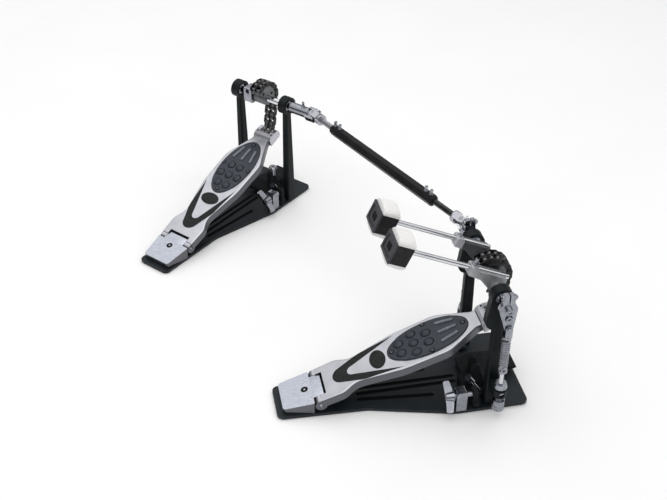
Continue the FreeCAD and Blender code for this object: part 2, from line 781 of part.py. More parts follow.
def toe_link():
    """Block at the toe with a fork and a pin for the chain's end."""
    pin = TOE_PIN
    floor = pin.z - TOE_DEPTH
    crest = pin.z + TOE_CREST
    nose = pin.y + TOE_ROUND
    profile = side_slab([
        (FOOT_END, floor, 0),
        (nose, floor, TOE_ROUND - 1),
        (nose, pin.z + TOE_ROUND, TOE_ROUND - 1),
        (pin.y - TOE_ROUND, crest, TOE_ROUND - 2),
        (FOOT_END + TOE_ROUND, crest, TOE_ROUND / 2),
        (FOOT_END, crest - TOE_ROUND * 0.75, 0),
    ], -TOE_HALF, 2 * TOE_HALF)
    slot_half = CHAIN_HALF + SIDE_GAP
    room = TOE_EYE_R + TOE_EYE_PLAY + SIDE_GAP
    slot = box((-slot_half, slot_half), (pin.y - room, nose), (floor, 2 * TOE_HALF))
    solid = profile.cut(slot)
    solid = solid.fuse(bar_x(-TOE_HALF, TOE_HALF, pin.y, pin.z, TOE_PIN_R))
    return placed(solid.removeSplitter(), FOOT)


# Chain drive


def outer_link(a, b):
    """Pin link: three plates and its two pins."""
    pieces = []
    for x in (-OUTER_PLATE_X, 0, OUTER_PLATE_X):
        pieces.append(belt(a, PLATE_R, b, PLATE_R, x - LINK_T / 2, x + LINK_T / 2))
    for y, z in (a, b):
        pieces.append(bar_x(-CHAIN_HALF, CHAIN_HALF, y, z, CHAIN_PIN_R))
    return pieces


def inner_link(a, b):
    """Roller link: two rows, each with two plates and two rollers."""
    pieces = []
    for row in (-ROW_X, ROW_X):
        for side in (-1, 1):
            edge = row + side * ROW_HALF
            low, high = sorted((edge, edge - side * LINK_T))
            pieces.append(belt(a, PLATE_R, b, PLATE_R, low, high))
        for y, z in (a, b):
            pieces.append(bar_x(row - ROW_HALF, row + ROW_HALF, y, z, ROLLER_R))
    return pieces


def pin_bore(at):
    """Bore through the rollers for the pin of the next link."""
    return bar_x(-CHAIN_HALF, CHAIN_HALF, at[0], at[1], CHAIN_PIN_R + RUNNING_FIT)


def free_link(index):
    """One of the links that leave the cam during a stroke. Odd ones are pin links."""
    a = cam_point(LEAVE_ANGLE + index * LINK_STEP)
    b = cam_point(LEAVE_ANGLE + (index - 1) * LINK_STEP)
    if index % 2:
        return [fused(outer_link(a, b))]
    rows = Part.makeCompound(inner_link(a, b))
    return split_rows(rows, [a, b])


def split_rows(rows, bored):
    """The two rows of a roller link as two solids with their pin bores."""
    solids = []
    for side in (-1, 1):
        row = [s for s in rows.Solids if s.CenterOfMass.x * side > 0]
        solid = fused(row)
        for at in bored:
            solid = solid.cut(pin_bore(at))
        solids.append(solid)
    return solids


def chain_run(points, bored, first_is_inner):
    """A run of links as one piece, with a free bore at one end."""
    pieces = []
    for i in range(len(points) - 1):
        inner = (i % 2 == 0) == first_is_inner
        make = inner_link if inner else outer_link
        pieces += make(points[i], points[i + 1])
    return fused(pieces).cut(pin_bore(bored))


def chain_wrap():
    """Links that stay on the cam, from the last free link to the anchor."""
    start = LEAVE_ANGLE + FREE_LINKS * LINK_STEP
    points = [cam_point(start + i * LINK_STEP) for i in range(WRAP_LINKS + 1)]
    return chain_run(points, points[0], True)


def chain_strand():
    """Links that hang from the cam to the toe, with an eye round the toe pin."""
    points = [strand_point(i) for i in range(STRAND_LINKS)]
    run = chain_run(points, points[0], True)
    last = points[-1]
    toe = strand_point(STRAND_LINKS)
    turn = math.radians(LEAVE_ANGLE)
    shift = (TOE_EYE_PLAY * math.cos(turn), TOE_EYE_PLAY * math.sin(turn))
    plates = []
    for row in (-ROW_X, ROW_X):
        plates.append(belt(last, PLATE_R, toe, TOE_EYE_R, row - TOE_EYE_T / 2, row + TOE_EYE_T / 2))
    eye = belt(
        (toe[0] - shift[0], toe[1] - shift[1]), TOE_PIN_R + TOE_EYE_SLACK,
        (toe[0] + shift[0], toe[1] + shift[1]), TOE_PIN_R + TOE_EYE_SLACK,
        -CHAIN_HALF, CHAIN_HALF,
    )
    return fused([run] + [p.cut(eye) for p in plates])


def cam_sector(radius, x0, x1):
    """Slice of a wheel on the axle, as long as the chain that lies on it and a little more at each end."""
    sweep = (FREE_LINKS + WRAP_LINKS) * LINK_STEP + CAM_LEAD + CAM_TAIL
    centre = Vector(x0, AXLE_Y, AXLE_Z)
    disc = Part.makeCylinder(radius, x1 - x0, centre, X_AXIS, sweep)
    return disc.rotated(centre, X_AXIS, start_turn(LEAVE_ANGLE - CAM_LEAD))


def cam():
    """Sector wheel with a ridge under each row of rollers and two holes in its web."""
    ridge_r = PITCH_R - ROLLER_R - CAM_CLEARANCE
    web_r = PITCH_R - PLATE_R - 2 * CAM_CLEARANCE
    pieces = [
        cam_sector(web_r, -CAM_HALF, CAM_HALF),
        bar_x(-CAM_HALF, CAM_HALF, AXLE_Y, AXLE_Z, CAM_HUB_R),
    ]
    ridge_half = ROW_HALF - LINK_T - 2 * CAM_CLEARANCE
    for row in (-ROW_X, ROW_X):
        pieces.append(cam_sector(ridge_r, row - ridge_half, row + ridge_half))
    solid = fused(pieces)
    for links in (FREE_LINKS / 2, FREE_LINKS + WRAP_LINKS):
        y, z = cam_point(LEAVE_ANGLE + links * LINK_STEP, (AXLE_R + web_r) / 2)
        solid = solid.cut(bar_x(-CAM_HALF, CAM_HALF, y, z, CAM_HOLE_R))
    return solid.cut(bar_x(-CAM_HALF, CAM_HALF, AXLE_Y, AXLE_Z, AXLE_R + SEAT_GAP))


def start_turn(angle):
    """Turn about X that brings the seam of a cylinder along X to an angle round the axle."""
    probe = Part.makeCylinder(1, 1, Vector(0, 0, 0), X_AXIS, 1.0)
    centre = probe.CenterOfMass
    return angle - math.degrees(math.atan2(centre.z, centre.y)) + 0.5


# Axles, hubs and beaters


def right_axle():
    """Axle of the main pedal's own beater, with a pilot that runs in the left shaft."""
    end = -CAM_HALF - AXLE_STUB
    outer = RIGHT_POST_X + RIGHT_SPRING_OFFSET + ROCKER_T / 2 + AXLE_END
    axle = bar_x(end, outer, AXLE_Y, AXLE_Z, AXLE_R)
    return axle.fuse(bar_x(end - PILOT_LENGTH, end, AXLE_Y, AXLE_Z, PILOT_R)).removeSplitter()


def yoke(pin_axis, centre, outward, hub_length, pin_gap):
    """Fork of a universal joint. Its hub lies at -outward from the joint's centre."""
    face = -YOKE_HUB_FACE
    root = face - YOKE_FLANGE_T
    outer = YOKE_INNER + YOKE_ARM_T
    depth = (-YOKE_ARM_HALF, YOKE_ARM_HALF)
    pieces = [rod(Vector(0, 0, face - hub_length), Vector(0, 0, face), YOKE_HUB_R)]
    pieces.append(box((-outer, outer), depth, (root, face)))
    for side in (-1, 1):
        low, high = sorted((side * YOKE_INNER, side * outer))
        pieces.append(box((low, high), depth, (root, 0)))
        pieces.append(bar_x(low, high, 0, 0, YOKE_ARM_HALF))
    solid = fused(pieces).cut(bar_x(-outer, outer, 0, 0, TRUNNION_R + pin_gap))
    turn = Rotation(pin_axis, outward.cross(pin_axis), outward, "ZXY")
    return placed(solid, Placement(centre, turn))


def cross(pin_a, pin_b, centre):
    """Spider of a universal joint: a block with four trunnions."""
    reach = YOKE_INNER + YOKE_ARM_T - OPEN_PIN_GAP / 2
    half = (-CROSS_HALF, CROSS_HALF)
    block = box(half, half, half)
    block = block.makeChamfer(CROSS_CHAMFER, block.Edges)
    pieces = [block, bar_x(-reach, reach, 0, 0, TRUNNION_R)]
    pieces.append(rod(Vector(0, -reach, 0), Vector(0, reach, 0), TRUNNION_R))
    turn = Rotation(pin_a, pin_b, pin_a.cross(pin_b), "ZXY")
    return placed(fused(pieces), Placement(centre, turn))


def left_shaft():
    """Shaft of the left beater: it takes the right axle's pilot and ends in a yoke."""
    start = -CAM_HALF - AXLE_STUB - SIDE_GAP
    rocker_end = MAIN_LEFT_POST_X - LEFT_SPRING_OFFSET - ROCKER_T / 2
    hub_length = rocker_end - SIDE_GAP - (MAIN_JOINT_X + YOKE_HUB_FACE)
    shaft = bar_x(MAIN_JOINT_X + YOKE_HUB_FACE, start, AXLE_Y, AXLE_Z, AXLE_R)
    bore = bar_x(start - PILOT_LENGTH - SIDE_GAP, start, AXLE_Y, AXLE_Z, PILOT_R + RUNNING_FIT)
    fork = yoke(MAIN_PIN, MAIN_CENTRE, Vector(-1, 0, 0), hub_length, RUNNING_FIT)
    return shaft.cut(bore).fuse(fork).removeSplitter()


def beater_place(x, lift=0.0):
    """Carries a beater drawn upright at the origin to its rest on the axle, slid out by lift."""
    on_axle = Placement(Vector(x, AXLE_Y, AXLE_Z), Rotation(X_AXIS, BEATER_REST))
    return on_axle.multiply(Placement(Vector(0, 0, lift), Rotation()))


def beater_hub(x):
    """Bean-shaped clamp on the axle: the beater's rod lies in its groove and a split lug grips it."""
    step_r = (HUB_LUG_TOP - HUB_TOP) * 0.45
    solid = side_slab([
        (-HUB_R, -HUB_R / 3, HUB_R * 0.8),
        (HUB_R / 3, -HUB_TAIL, HUB_R * 0.7),
        (HUB_TOP, -HUB_TAIL, HUB_LUG_R * 2),
        (HUB_TOP, HUB_LUG_START, step_r),
        (HUB_LUG_TOP, HUB_LUG_START, step_r),
        (HUB_LUG_TOP, HUB_REACH, HUB_LUG_R),
        (HUB_R / 2, HUB_REACH, HUB_LUG_R),
        (HUB_R / 3, HUB_LUG_START - HUB_R, HUB_R),
        (-HUB_R, HUB_R * 0.7, HUB_R * 0.8),
    ], -HUB_HALF, 2 * HUB_HALF)
    rims = [e for e in solid.Edges if abs(abs(e.CenterOfMass.x) - HUB_HALF) < 1e-6]
    solid = solid.makeFillet(HUB_EDGE_R, rims)
    seat_r = ROD_R + SEAT_GAP
    foot = Vector(0, ROD_OFFSET, -2 * HUB_TAIL)
    solid = solid.cut(rod(foot, Vector(0, ROD_OFFSET, 2 * HUB_REACH), seat_r))
    above_rod = (ROD_OFFSET, 2 * HUB_LUG_TOP)
    solid = solid.cut(box((-seat_r, seat_r), above_rod, (-2 * HUB_TAIL, HUB_LUG_START)))
    slit_half = HUB_SLIT / 2
    solid = solid.cut(box((-slit_half, slit_half), above_rod, (HUB_LUG_START, 2 * HUB_REACH)))
    solid = solid.cut(bar_x(-HUB_HALF, HUB_HALF, 0, 0, AXLE_R + SEAT_GAP))
    return placed(solid.removeSplitter(), beater_place(x))


def beater_rod(x, lift):
    """Round rod from its tail below the hub into the head."""
    start = Vector(0, ROD_OFFSET, -ROD_TAIL)
    end = Vector(0, ROD_OFFSET, HEAD_START + HEAD_LENGTH / 2)
    return placed(rod(start, end, ROD_R), beater_place(x, lift))


def head_block(half_width, half_depth, z0, z1, radius=0.0):
    """Block round the rod's line, with its ends at z0 rounded on all four sides."""
    def loaf(half, middle):
        return [
            (middle - half, z1, 0),
            (middle - half, z0, radius),
            (middle + half, z0, radius),
            (middle + half, z1, 0),
        ]

    deep = side_slab(loaf(half_depth, ROD_OFFSET), -half_width, 2 * half_width)
    back = ROD_OFFSET - half_depth
    wire = rounded_wire(loaf(half_width, 0), lambda p: Vector(p.x, back, p.y))
    return deep.common(Part.Face(wire).extrude(Vector(0, 2 * half_depth, 0)))


def beater_core(x, lift):
    """Hard core with two plain faces, round towards the rod, and a square cap with a recess."""
    top = HEAD_START + HEAD_LENGTH
    end = top + HEAD_CAP_T
    body = head_block(HEAD_HALF_WIDTH, HEAD_CORE_HALF, HEAD_START, top, HEAD_ROUND)
    cap = head_block(HEAD_HALF_WIDTH + CAP_LIP, HEAD_CORE_HALF + CAP_LIP, top, end)
    recess = head_block(HEAD_HALF_WIDTH - CAP_RIM, HEAD_CORE_HALF - CAP_RIM, end - CAP_RECESS, end)
    solid = fused([body, cap.cut(recess)])
    bore_end = HEAD_START + HEAD_LENGTH / 2 + SIDE_GAP
    bore = rod(Vector(0, ROD_OFFSET, 0), Vector(0, ROD_OFFSET, bore_end), ROD_R + SEAT_GAP)
    return placed(solid.cut(bore), beater_place(x, lift))


def beater_felts(x, lift):
    """Two thick felts on the striking faces: crowned from side to side and round towards the rod."""
    low = HEAD_START + FELT_START
    high = HEAD_START + HEAD_LENGTH - FELT_GAP
    half = HEAD_HALF_WIDTH - FELT_INSET
    felts = []
    for side in (-1, 1):
        foot = ROD_OFFSET + side * (HEAD_CORE_HALF + FELT_GAP)
        crest = foot + side * FELT_CROWN
        loaf = side_slab([
            (foot, low, 0),
            (crest, low, FELT_CROWN * 0.75),
            (foot + side * FELT_CAP_CROWN, high, 0),
            (foot, high, 0),
        ], -half, 2 * half)
        edge = foot + side * FELT_EDGE
        rims = [Vector(-half, edge, low), Vector(half, edge, low)]
        arch = Part.Wire([
            Part.Arc(rims[0], Vector(0, crest, low), rims[1]).toShape(),
            Part.makePolygon([rims[1], Vector(half, foot, low), Vector(-half, foot, low), rims[0]]),
        ])
        crown = Part.Face(arch).extrude(Vector(0, 0, high - low))
        felts.append(placed(loaf.common(crown), beater_place(x, lift)))
    return felts


def second_axle():
    """Axle of the left-foot pedal, between its posts and into the coupling sleeve."""
    start = SECOND_LEFT_POST_X - DRUM_WIDTH / 2 - AXLE_END
    end = SECOND_JOINT_X - YOKE_HUB_FACE - SLEEVE_FLOOR
    return bar_x(start, end, AXLE_Y, AXLE_Z, AXLE_R)


def second_yoke():
    """Coupling sleeve on the left-foot axle with the joint's fork at its end."""
    fork = yoke(SECOND_PIN, SECOND_CENTRE, X_AXIS, SLEEVE_LENGTH, RUNNING_FIT)
    end = SECOND_JOINT_X - YOKE_HUB_FACE - SLEEVE_FLOOR + SIDE_GAP
    return fork.cut(bar_x(0, end, AXLE_Y, AXLE_Z, AXLE_R + SEAT_GAP))


def hub_block():
    """Clamp block that locks the left-foot cam to its axle, with a screw hole in its rear."""
    high = -CHAIN_HALF - HUB_BLOCK_SPACE
    low = high - HUB_BLOCK_WIDTH
    rear = AXLE_Y - HUB_BLOCK_REAR
    front = AXLE_Y + HUB_BLOCK_FRONT
    foot = AXLE_Z - HUB_BLOCK_DROP
    top = AXLE_Z + HUB_BLOCK_RISE
    block = side_slab([
        (rear, foot, HUB_LUG_R),
        (front, foot, HUB_LUG_R),
        (front, top, 2 * HUB_LUG_R),
        (rear, top, HUB_LUG_R),
    ], low, HUB_BLOCK_WIDTH)
    middle = (low + high) / 2
    screw_z = AXLE_Z + HUB_SCREW_RISE
    screw = rod(Vector(middle, rear, screw_z), Vector(middle, AXLE_Y, screw_z), HUB_SCREW_R)
    return block.cut(screw).cut(bar_x(low, high, AXLE_Y, AXLE_Z, AXLE_R + SEAT_GAP))


# Return springs


def rocker(x):
    """Teardrop lever clamped on the axle's end, with split ears above and a thin tip below."""
    low = x - ROCKER_T / 2
    high = x + ROCKER_T / 2
    rear = AXLE_Y - ROCKER_EAR_HALF
    front = AXLE_Y + ROCKER_EAR_HALF
    top = AXLE_Z + ROCKER_EAR_TOP
    tip = (SPRING_Y, AXLE_Z - ROCKER_REACH)
    body = belt((AXLE_Y, AXLE_Z), ROCKER_R, tip, ROCKER_TIP_R, low, high)
    ears = side_slab([
        (rear, AXLE_Z, 0),
        (front, AXLE_Z, 0),
        (front, top, ROCKER_EAR_R),
        (rear, top, ROCKER_EAR_R),
    ], low, ROCKER_T)
    slit = ROCKER_SLIT / 2
    solid = fused([body, ears]).cut(box((low, high), (AXLE_Y - slit, AXLE_Y + slit), (AXLE_Z, top)))
    thin = ROCKER_TIP_T / 2
    for start, end in ((low, x - thin), (x + thin, high)):
        solid = solid.cut(bar_x(start, end, tip[0], tip[1], ROCKER_TIP_R + ROCKER_RELIEF))
    return solid.cut(bar_x(low, high, AXLE_Y, AXLE_Z, AXLE_R + SEAT_GAP)).removeSplitter()


def spring_top_z():
    """Height of the plug that closes the spring's upper end."""
    return SPRING_FOOT_Z + SPRING_PLUG_T + spring_length()


def spring_length():
    """Free length of the coil with its two straight end legs."""
    return SPRING_TURNS * COIL_PITCH + 2 * LEG_RISE + 2 * WIRE_R * 2 + 2 * SPRING_SEAT


def spring_hook(x):
    """Clevis at the spring's top: a plug, a bridge and two cheeks beside the rocker's tip."""
    foot = spring_top_z()
    tip_z = AXLE_Z - ROCKER_REACH
    plug = rod(Vector(x, SPRING_Y, foot), Vector(x, SPRING_Y, foot + SPRING_PLUG_T), SPRING_PLUG_R)
    inner = ROCKER_TIP_T / 2 + SIDE_GAP
    outer = inner + CLEVIS_T
    depth = ROCKER_TIP_R * 0.8
    base_z = foot + SPRING_PLUG_T - HOOK_SINK
    bridge_z = (base_z, base_z + HOOK_BRIDGE_T)
    pieces = [plug, box((x - outer, x + outer), (SPRING_Y - depth, SPRING_Y + depth), bridge_z)]
    for side in (-1, 1):
        low, high = sorted((x + side * inner, x + side * outer))
        pieces.append(belt((SPRING_Y, base_z + depth), depth, (SPRING_Y, tip_z), depth, low, high))
        low, high = sorted((x + side * outer, x + side * (outer + HOOK_HEAD_T)))
        pieces.append(bar_x(low, high, SPRING_Y, tip_z, HOOK_HEAD_R))
    return fused(pieces)


def biarc(p0, t0, p1, t1):
    """Two arcs from p0 to p1 that start along t0, end along t1 and join smoothly."""
    span = p1 - p0
    both = t0 + t1
    bend = 2 * (1 - t0.dot(t1))
    along = span.dot(both)
    if bend < 1e-9:
        reach = span.dot(span) / (2 * along)
    else:
        reach = (math.sqrt(along * along + bend * span.dot(span)) - along) / bend
    q0 = p0 + t0 * reach
    q1 = p1 - t1 * reach
    middle = (q0 + q1) * 0.5
    arcs = []
    for a, q, b in ((p0, q0, middle), (middle, q1, p1)):
        weight = math.cos((q - a).getAngle(b - a))
        crown = (a + q * (2 * weight) + b) * (1 / (2 * (1 + weight)))
        arcs.append(Part.Arc(a, crown, b).toShape())
    return arcs


def spring_path(x):
    """Centre line of a coil: a straight leg, half turns joined by arcs, and a leg again."""
    start_z = SPRING_FOOT_Z + SPRING_PLUG_T + SPRING_SEAT
    coil_z = start_z + 2 * WIRE_R + LEG_RISE
    slope = COIL_PITCH / (2 * math.pi)
    nodes = []
    for i in range(2 * SPRING_TURNS + 1):
        turn = math.pi * i
        place = Vector(COIL_R * math.cos(turn), COIL_R * math.sin(turn), slope * turn)
        along = Vector(-COIL_R * math.sin(turn), COIL_R * math.cos(turn), slope).normalize()
        nodes.append((place + Vector(x, SPRING_Y, coil_z), along))
    first, along = nodes[0]
    last, onward = nodes[-1]
    leg_foot = first - Vector(along.x, along.y, 0) * LEG_RISE - Vector(0, 0, LEG_RISE)
    leg_head = last + Vector(onward.x, onward.y, 0) * LEG_RISE + Vector(0, 0, LEG_RISE)
    nodes = [(leg_foot, Z_AXIS)] + nodes + [(leg_head, Z_AXIS)]
    straight = Vector(0, 0, 2 * WIRE_R)
    edges = [Part.makeLine(leg_foot - straight, leg_foot)]
    for (p0, t0), (p1, t1) in zip(nodes, nodes[1:]):
        edges += biarc(p0, t0, p1, t1)
    edges.append(Part.makeLine(leg_head, leg_head + straight))
    return Part.Wire(edges)


def spring(x):
    """Coil spring as one unbroken round wire."""
    path = spring_path(x)
    start = path.Edges[0].Vertexes[0].Point
    profile = Part.Wire([Part.makeCircle(WIRE_R, start, Z_AXIS)])
    solid = path.makePipeShell([profile], True, False)
    print("spring gap", round(self_gap(path), 3), "volume share", round(wire_share(solid, path), 4))
    return solid


def wire_share(solid, path):
    """Volume of a wire against its section times its length."""
    return solid.Volume / (math.pi * WIRE_R ** 2 * path.Length)


def self_gap(path):
    """Least clear gap between two turns of a wire, measured on points along it."""
    step = WIRE_R / 2
    points = path.discretize(Distance=step)
    apart = int(math.pi * COIL_R / step)
    least = 1e9
    for i, p in enumerate(points):
        for q in points[i + apart:]:
            least = min(least, (p - q).Length)
    return least - 2 * WIRE_R


def spring_rod(x):
    """Threaded rod with the spring's lower plug, a cup, and a barrel that swivels in the arm."""
    plug_top = SPRING_FOOT_Z + SPRING_PLUG_T
    low = Vector(x, SPRING_Y, SPRING_ROD_FOOT_Z)
    pieces = [rod(low, Vector(x, SPRING_Y, plug_top), SPRING_ROD_R)]
    pieces.append(rod(Vector(x, SPRING_Y, SPRING_FOOT_Z), Vector(x, SPRING_Y, plug_top), SPRING_PLUG_R))
    cup = Part.makeCone(CUP_R, CUP_R - CUP_TAPER, CUP_T, Vector(x, SPRING_Y, CUP_Z), Z_AXIS)
    pieces.append(cup)
    pieces.append(bar_x(x - PIVOT_HALF, x + PIVOT_HALF, SPRING_Y, SPRING_PIVOT_Z, PIVOT_R))
    return fused(pieces)


def tension_nut(x):
    """Fluted nut under the arm that sets the spring's pull."""
    foot = Vector(x, SPRING_Y, NUT_Z)
    shoulder = Vector(x, SPRING_Y, NUT_Z + NUT_T)
    top = Vector(x, SPRING_Y, NUT_Z + NUT_T + NUT_NECK_T)
    nut = rod(foot, shoulder, NUT_R).fuse(rod(shoulder, top, NUT_NECK_R))
    for i in range(NUT_FLUTES):
        turn = 2 * math.pi * i / NUT_FLUTES
        at = foot + Vector(NUT_R * math.cos(turn), NUT_R * math.sin(turn), 0)
        nut = nut.cut(Part.makeCylinder(NUT_FLUTE_R, NUT_FLUTE_LENGTH, at, Z_AXIS))
    return nut.cut(rod(foot, top, SPRING_ROD_R + SEAT_GAP))


# Shaft between the pedals


def hexagon(across_flats, centre, along, length):
    """Six-sided bar from centre along a horizontal direction, with a flat on top."""
    radius = across_flats / math.sqrt(3)
    side = Z_AXIS.cross(along)
    points = []
    for i in range(7):
        turn = math.radians(60 * i)
        points.append(centre + side * (radius * math.cos(turn)) + Z_AXIS * (radius * math.sin(turn)))
    return Part.Face(Part.makePolygon(points)).extrude(along * length)


def drive_tube():
    """Six-sided outer tube with chamfered ends and a six-sided bore."""
    start = SECOND_JOINT + SHAFT_AXIS * TUBE_START
    length = TUBE_END - TUBE_START
    middle = start + SHAFT_AXIS * (length / 2)
    small = TUBE_FLATS / math.sqrt(3) - TUBE_TAPER
    large = small + length / 2
    ends = Part.makeCone(small, large, length / 2, start, SHAFT_AXIS)
    ends = ends.fuse(Part.makeCone(large, small, length / 2, middle, SHAFT_AXIS))
    bore = hexagon(SHAFT_FLATS + 2 * SHAFT_PLAY, start, SHAFT_AXIS, length)
    return hexagon(TUBE_FLATS, start, SHAFT_AXIS, length).common(ends).cut(bore).removeSplitter()


def end_shaft(centre, outward, end):
    """Six-sided inner shaft with the fork of its universal joint."""
    fork = yoke(SHAFT_PIN, centre, -outward, END_HUB_LENGTH, OPEN_PIN_GAP)
    start = YOKE_HUB_FACE + END_HUB_LENGTH / 2
    bar = hexagon(SHAFT_FLATS, centre + outward * start, outward, end - start)
    return fork.fuse(bar).removeSplitter()


# Hoop clamp


def clamp_lever(left_post_x, wing_x):
    """Rocking clamp: a jaw in front, a cross shaft, and an upright arm for the wing bolt."""
    middle = (RIGHT_POST_X + left_post_x) / 2
    shaft = bar_x(middle - JAW_HALF, wing_x + BLOCK_HALF, CLAMP_SHAFT_Y, CLAMP_SHAFT_Z, CLAMP_SHAFT_R)
    jaw_top = JAW_UNDER_Z + JAW_T
    jaw = side_slab([
        (CLAMP_SHAFT_Y, CLAMP_SHAFT_Z - JAW_ROOT_HALF, 0),
        (CLAMP_SHAFT_Y + JAW_BEND, JAW_UNDER_Z, JAW_BEND_R),
        (BASE_FRONT_Y - JAW_LIP, JAW_UNDER_Z, 0),
        (BASE_FRONT_Y, JAW_UNDER_Z + JAW_LIP_RISE, 0),
        (BASE_FRONT_Y, jaw_top, JAW_LIP_RISE),
        (CLAMP_SHAFT_Y + JAW_SHOULDER, jaw_top + JAW_SHOULDER_RISE, JAW_SHOULDER_R),
        (CLAMP_SHAFT_Y, CLAMP_SHAFT_Z + JAW_ROOT_HALF, 0),
    ], middle - JAW_HALF, 2 * JAW_HALF)
    arm_top = WING_Z + ARM_RISE
    arm = side_slab([
        (ARM_FACE_Y, CLAMP_SHAFT_Z, 0),
        (ARM_FACE_Y + ARM_T, CLAMP_SHAFT_Z, 0),
        (ARM_FACE_Y + ARM_T, arm_top, BLOCK_EDGE_R),
        (ARM_FACE_Y, arm_top, BLOCK_EDGE_R),
    ], wing_x - ARM_HALF, 2 * ARM_HALF)
    return fused([shaft, jaw, arm])


def clamp_bracket(left_post_x):
    """Casting between the posts that carries the clamp's cross shaft, with two gussets on top."""
    low = (RIGHT_POST_X + left_post_x) / 2 + JAW_HALF + SIDE_GAP
    high = RIGHT_POST_X - SPIKE_INSET - SPIKE_R - SPIKE_BOSS_T - 2 * SIDE_GAP
    pieces = [side_slab([
        (CLAMP_SHAFT_Y - BRACKET_REAR, PLATE_TOP, 0),
        (CLAMP_SHAFT_Y + BRACKET_FRONT, PLATE_TOP, 0),
        (CLAMP_SHAFT_Y + BRACKET_FRONT, PLATE_TOP + BRACKET_FRONT_TOP, BRACKET_R),
        (CLAMP_SHAFT_Y + BRACKET_CREST, PLATE_TOP + BRACKET_CREST_TOP, BRACKET_R),
        (CLAMP_SHAFT_Y - BRACKET_REAR, PLATE_TOP + BRACKET_REAR_TOP, BRACKET_R),
    ], low, high - low)]
    for x in (low, high - GUSSET_T):
        pieces.append(side_slab([
            (CLAMP_SHAFT_Y, PLATE_TOP + GUSSET_ROOT, 0),
            (CLAMP_SHAFT_Y + GUSSET_LENGTH, PLATE_TOP + GUSSET_ROOT, 0),
            (CLAMP_SHAFT_Y + GUSSET_TOP_END, PLATE_TOP + GUSSET_TOP, GUSSET_R),
            (CLAMP_SHAFT_Y + GUSSET_TOP_START, PLATE_TOP + GUSSET_TOP, GUSSET_R),
        ], x, GUSSET_T))
    bore = bar_x(low, high, CLAMP_SHAFT_Y, CLAMP_SHAFT_Z, CLAMP_SHAFT_R + RUNNING_FIT)
    return fused(pieces).cut(bore)


def clamp_block(wing_x):
    """Threaded block for the wing bolt, standing on the base."""
    front = BLOCK_Y + BLOCK_LENGTH
    block = side_slab([
        (BLOCK_Y, PLATE_TOP, 0),
        (front, PLATE_TOP, 0),
        (front, BLOCK_TOP_Z, BLOCK_EDGE_R),
        (BLOCK_Y, BLOCK_TOP_Z, BLOCK_REAR_R),
    ], wing_x - BLOCK_HALF, 2 * BLOCK_HALF)
    hole = rod(Vector(wing_x, BLOCK_Y, WING_Z), Vector(wing_x, front, WING_Z), WING_BOLT_R + RUNNING_FIT)
    return block.cut(hole)


def wing_bolt(wing_x):
    """Bolt with a two-bladed wing that presses on the clamp's arm."""
    middle = WING_REAR_Y + WING_SET
    shank = rod(Vector(0, middle, 0), Vector(0, ARM_FACE_Y - SIDE_GAP, 0), WING_BOLT_R)
    rear = Vector(0, WING_REAR_Y, 0)
    hub = Part.makeCone(WING_HUB_REAR_R, WING_HUB_R, WING_HUB_LENGTH, rear, Y_AXIS)
    half = WING_SPAN / 2
    wing = slab(symmetric([
        (WING_ROOT_X, middle - WING_ROOT_HALF, 3 * WING_EDGE_R),
        (half, middle - WING_TIP_REAR, 1.5 * WING_EDGE_R),
        (half, middle + WING_TIP_FRONT, WING_EDGE_R),
        (WING_ROOT_X, middle + WING_ROOT_HALF, 1.5 * WING_EDGE_R),
    ]), -WING_T / 2, WING_T)
    turned = Placement(Vector(wing_x, 0, WING_Z), Rotation(Y_AXIS, WING_TURN))
    return placed(fused([shank, hub, wing]), turned)


# Places worked out from the sizes above

RIGHT_SPRING_X = RIGHT_POST_X + RIGHT_SPRING_OFFSET
LEFT_SPRING_X = MAIN_LEFT_POST_X - LEFT_SPRING_OFFSET

# The cross of each universal joint lies square to both shafts at mid stroke
MAIN_JOINT = Vector(MAIN_JOINT_X, AXLE_Y, AXLE_Z)
SECOND_JOINT = SECOND.multVec(Vector(SECOND_JOINT_X, AXLE_Y, AXLE_Z))
SHAFT_AXIS = (MAIN_JOINT - SECOND_JOINT).normalize()
MAIN_CENTRE = MAIN_JOINT
MAIN_PIN = Rotation(X_AXIS, STROKE / 2).multVec(Y_AXIS)
SHAFT_PIN = SHAFT_AXIS.cross(MAIN_PIN).normalize()
SECOND_CENTRE = Vector(SECOND_JOINT_X, AXLE_Y, AXLE_Z)
SECOND_AXIS = SECOND.Rotation.multVec(X_AXIS)
SECOND_PIN_THERE = SHAFT_PIN.cross(SECOND_AXIS).normalize()
SECOND_PIN = SECOND.Rotation.inverted().multVec(SECOND_PIN_THERE)

MAIN_RIGHT_EDGE = RIGHT_POST_X + BASE_TOE_MARGIN
SECOND_RIGHT_EDGE = RIGHT_POST_X + POST_FOOT_WIDTH / 2 - POST_OVERHANG


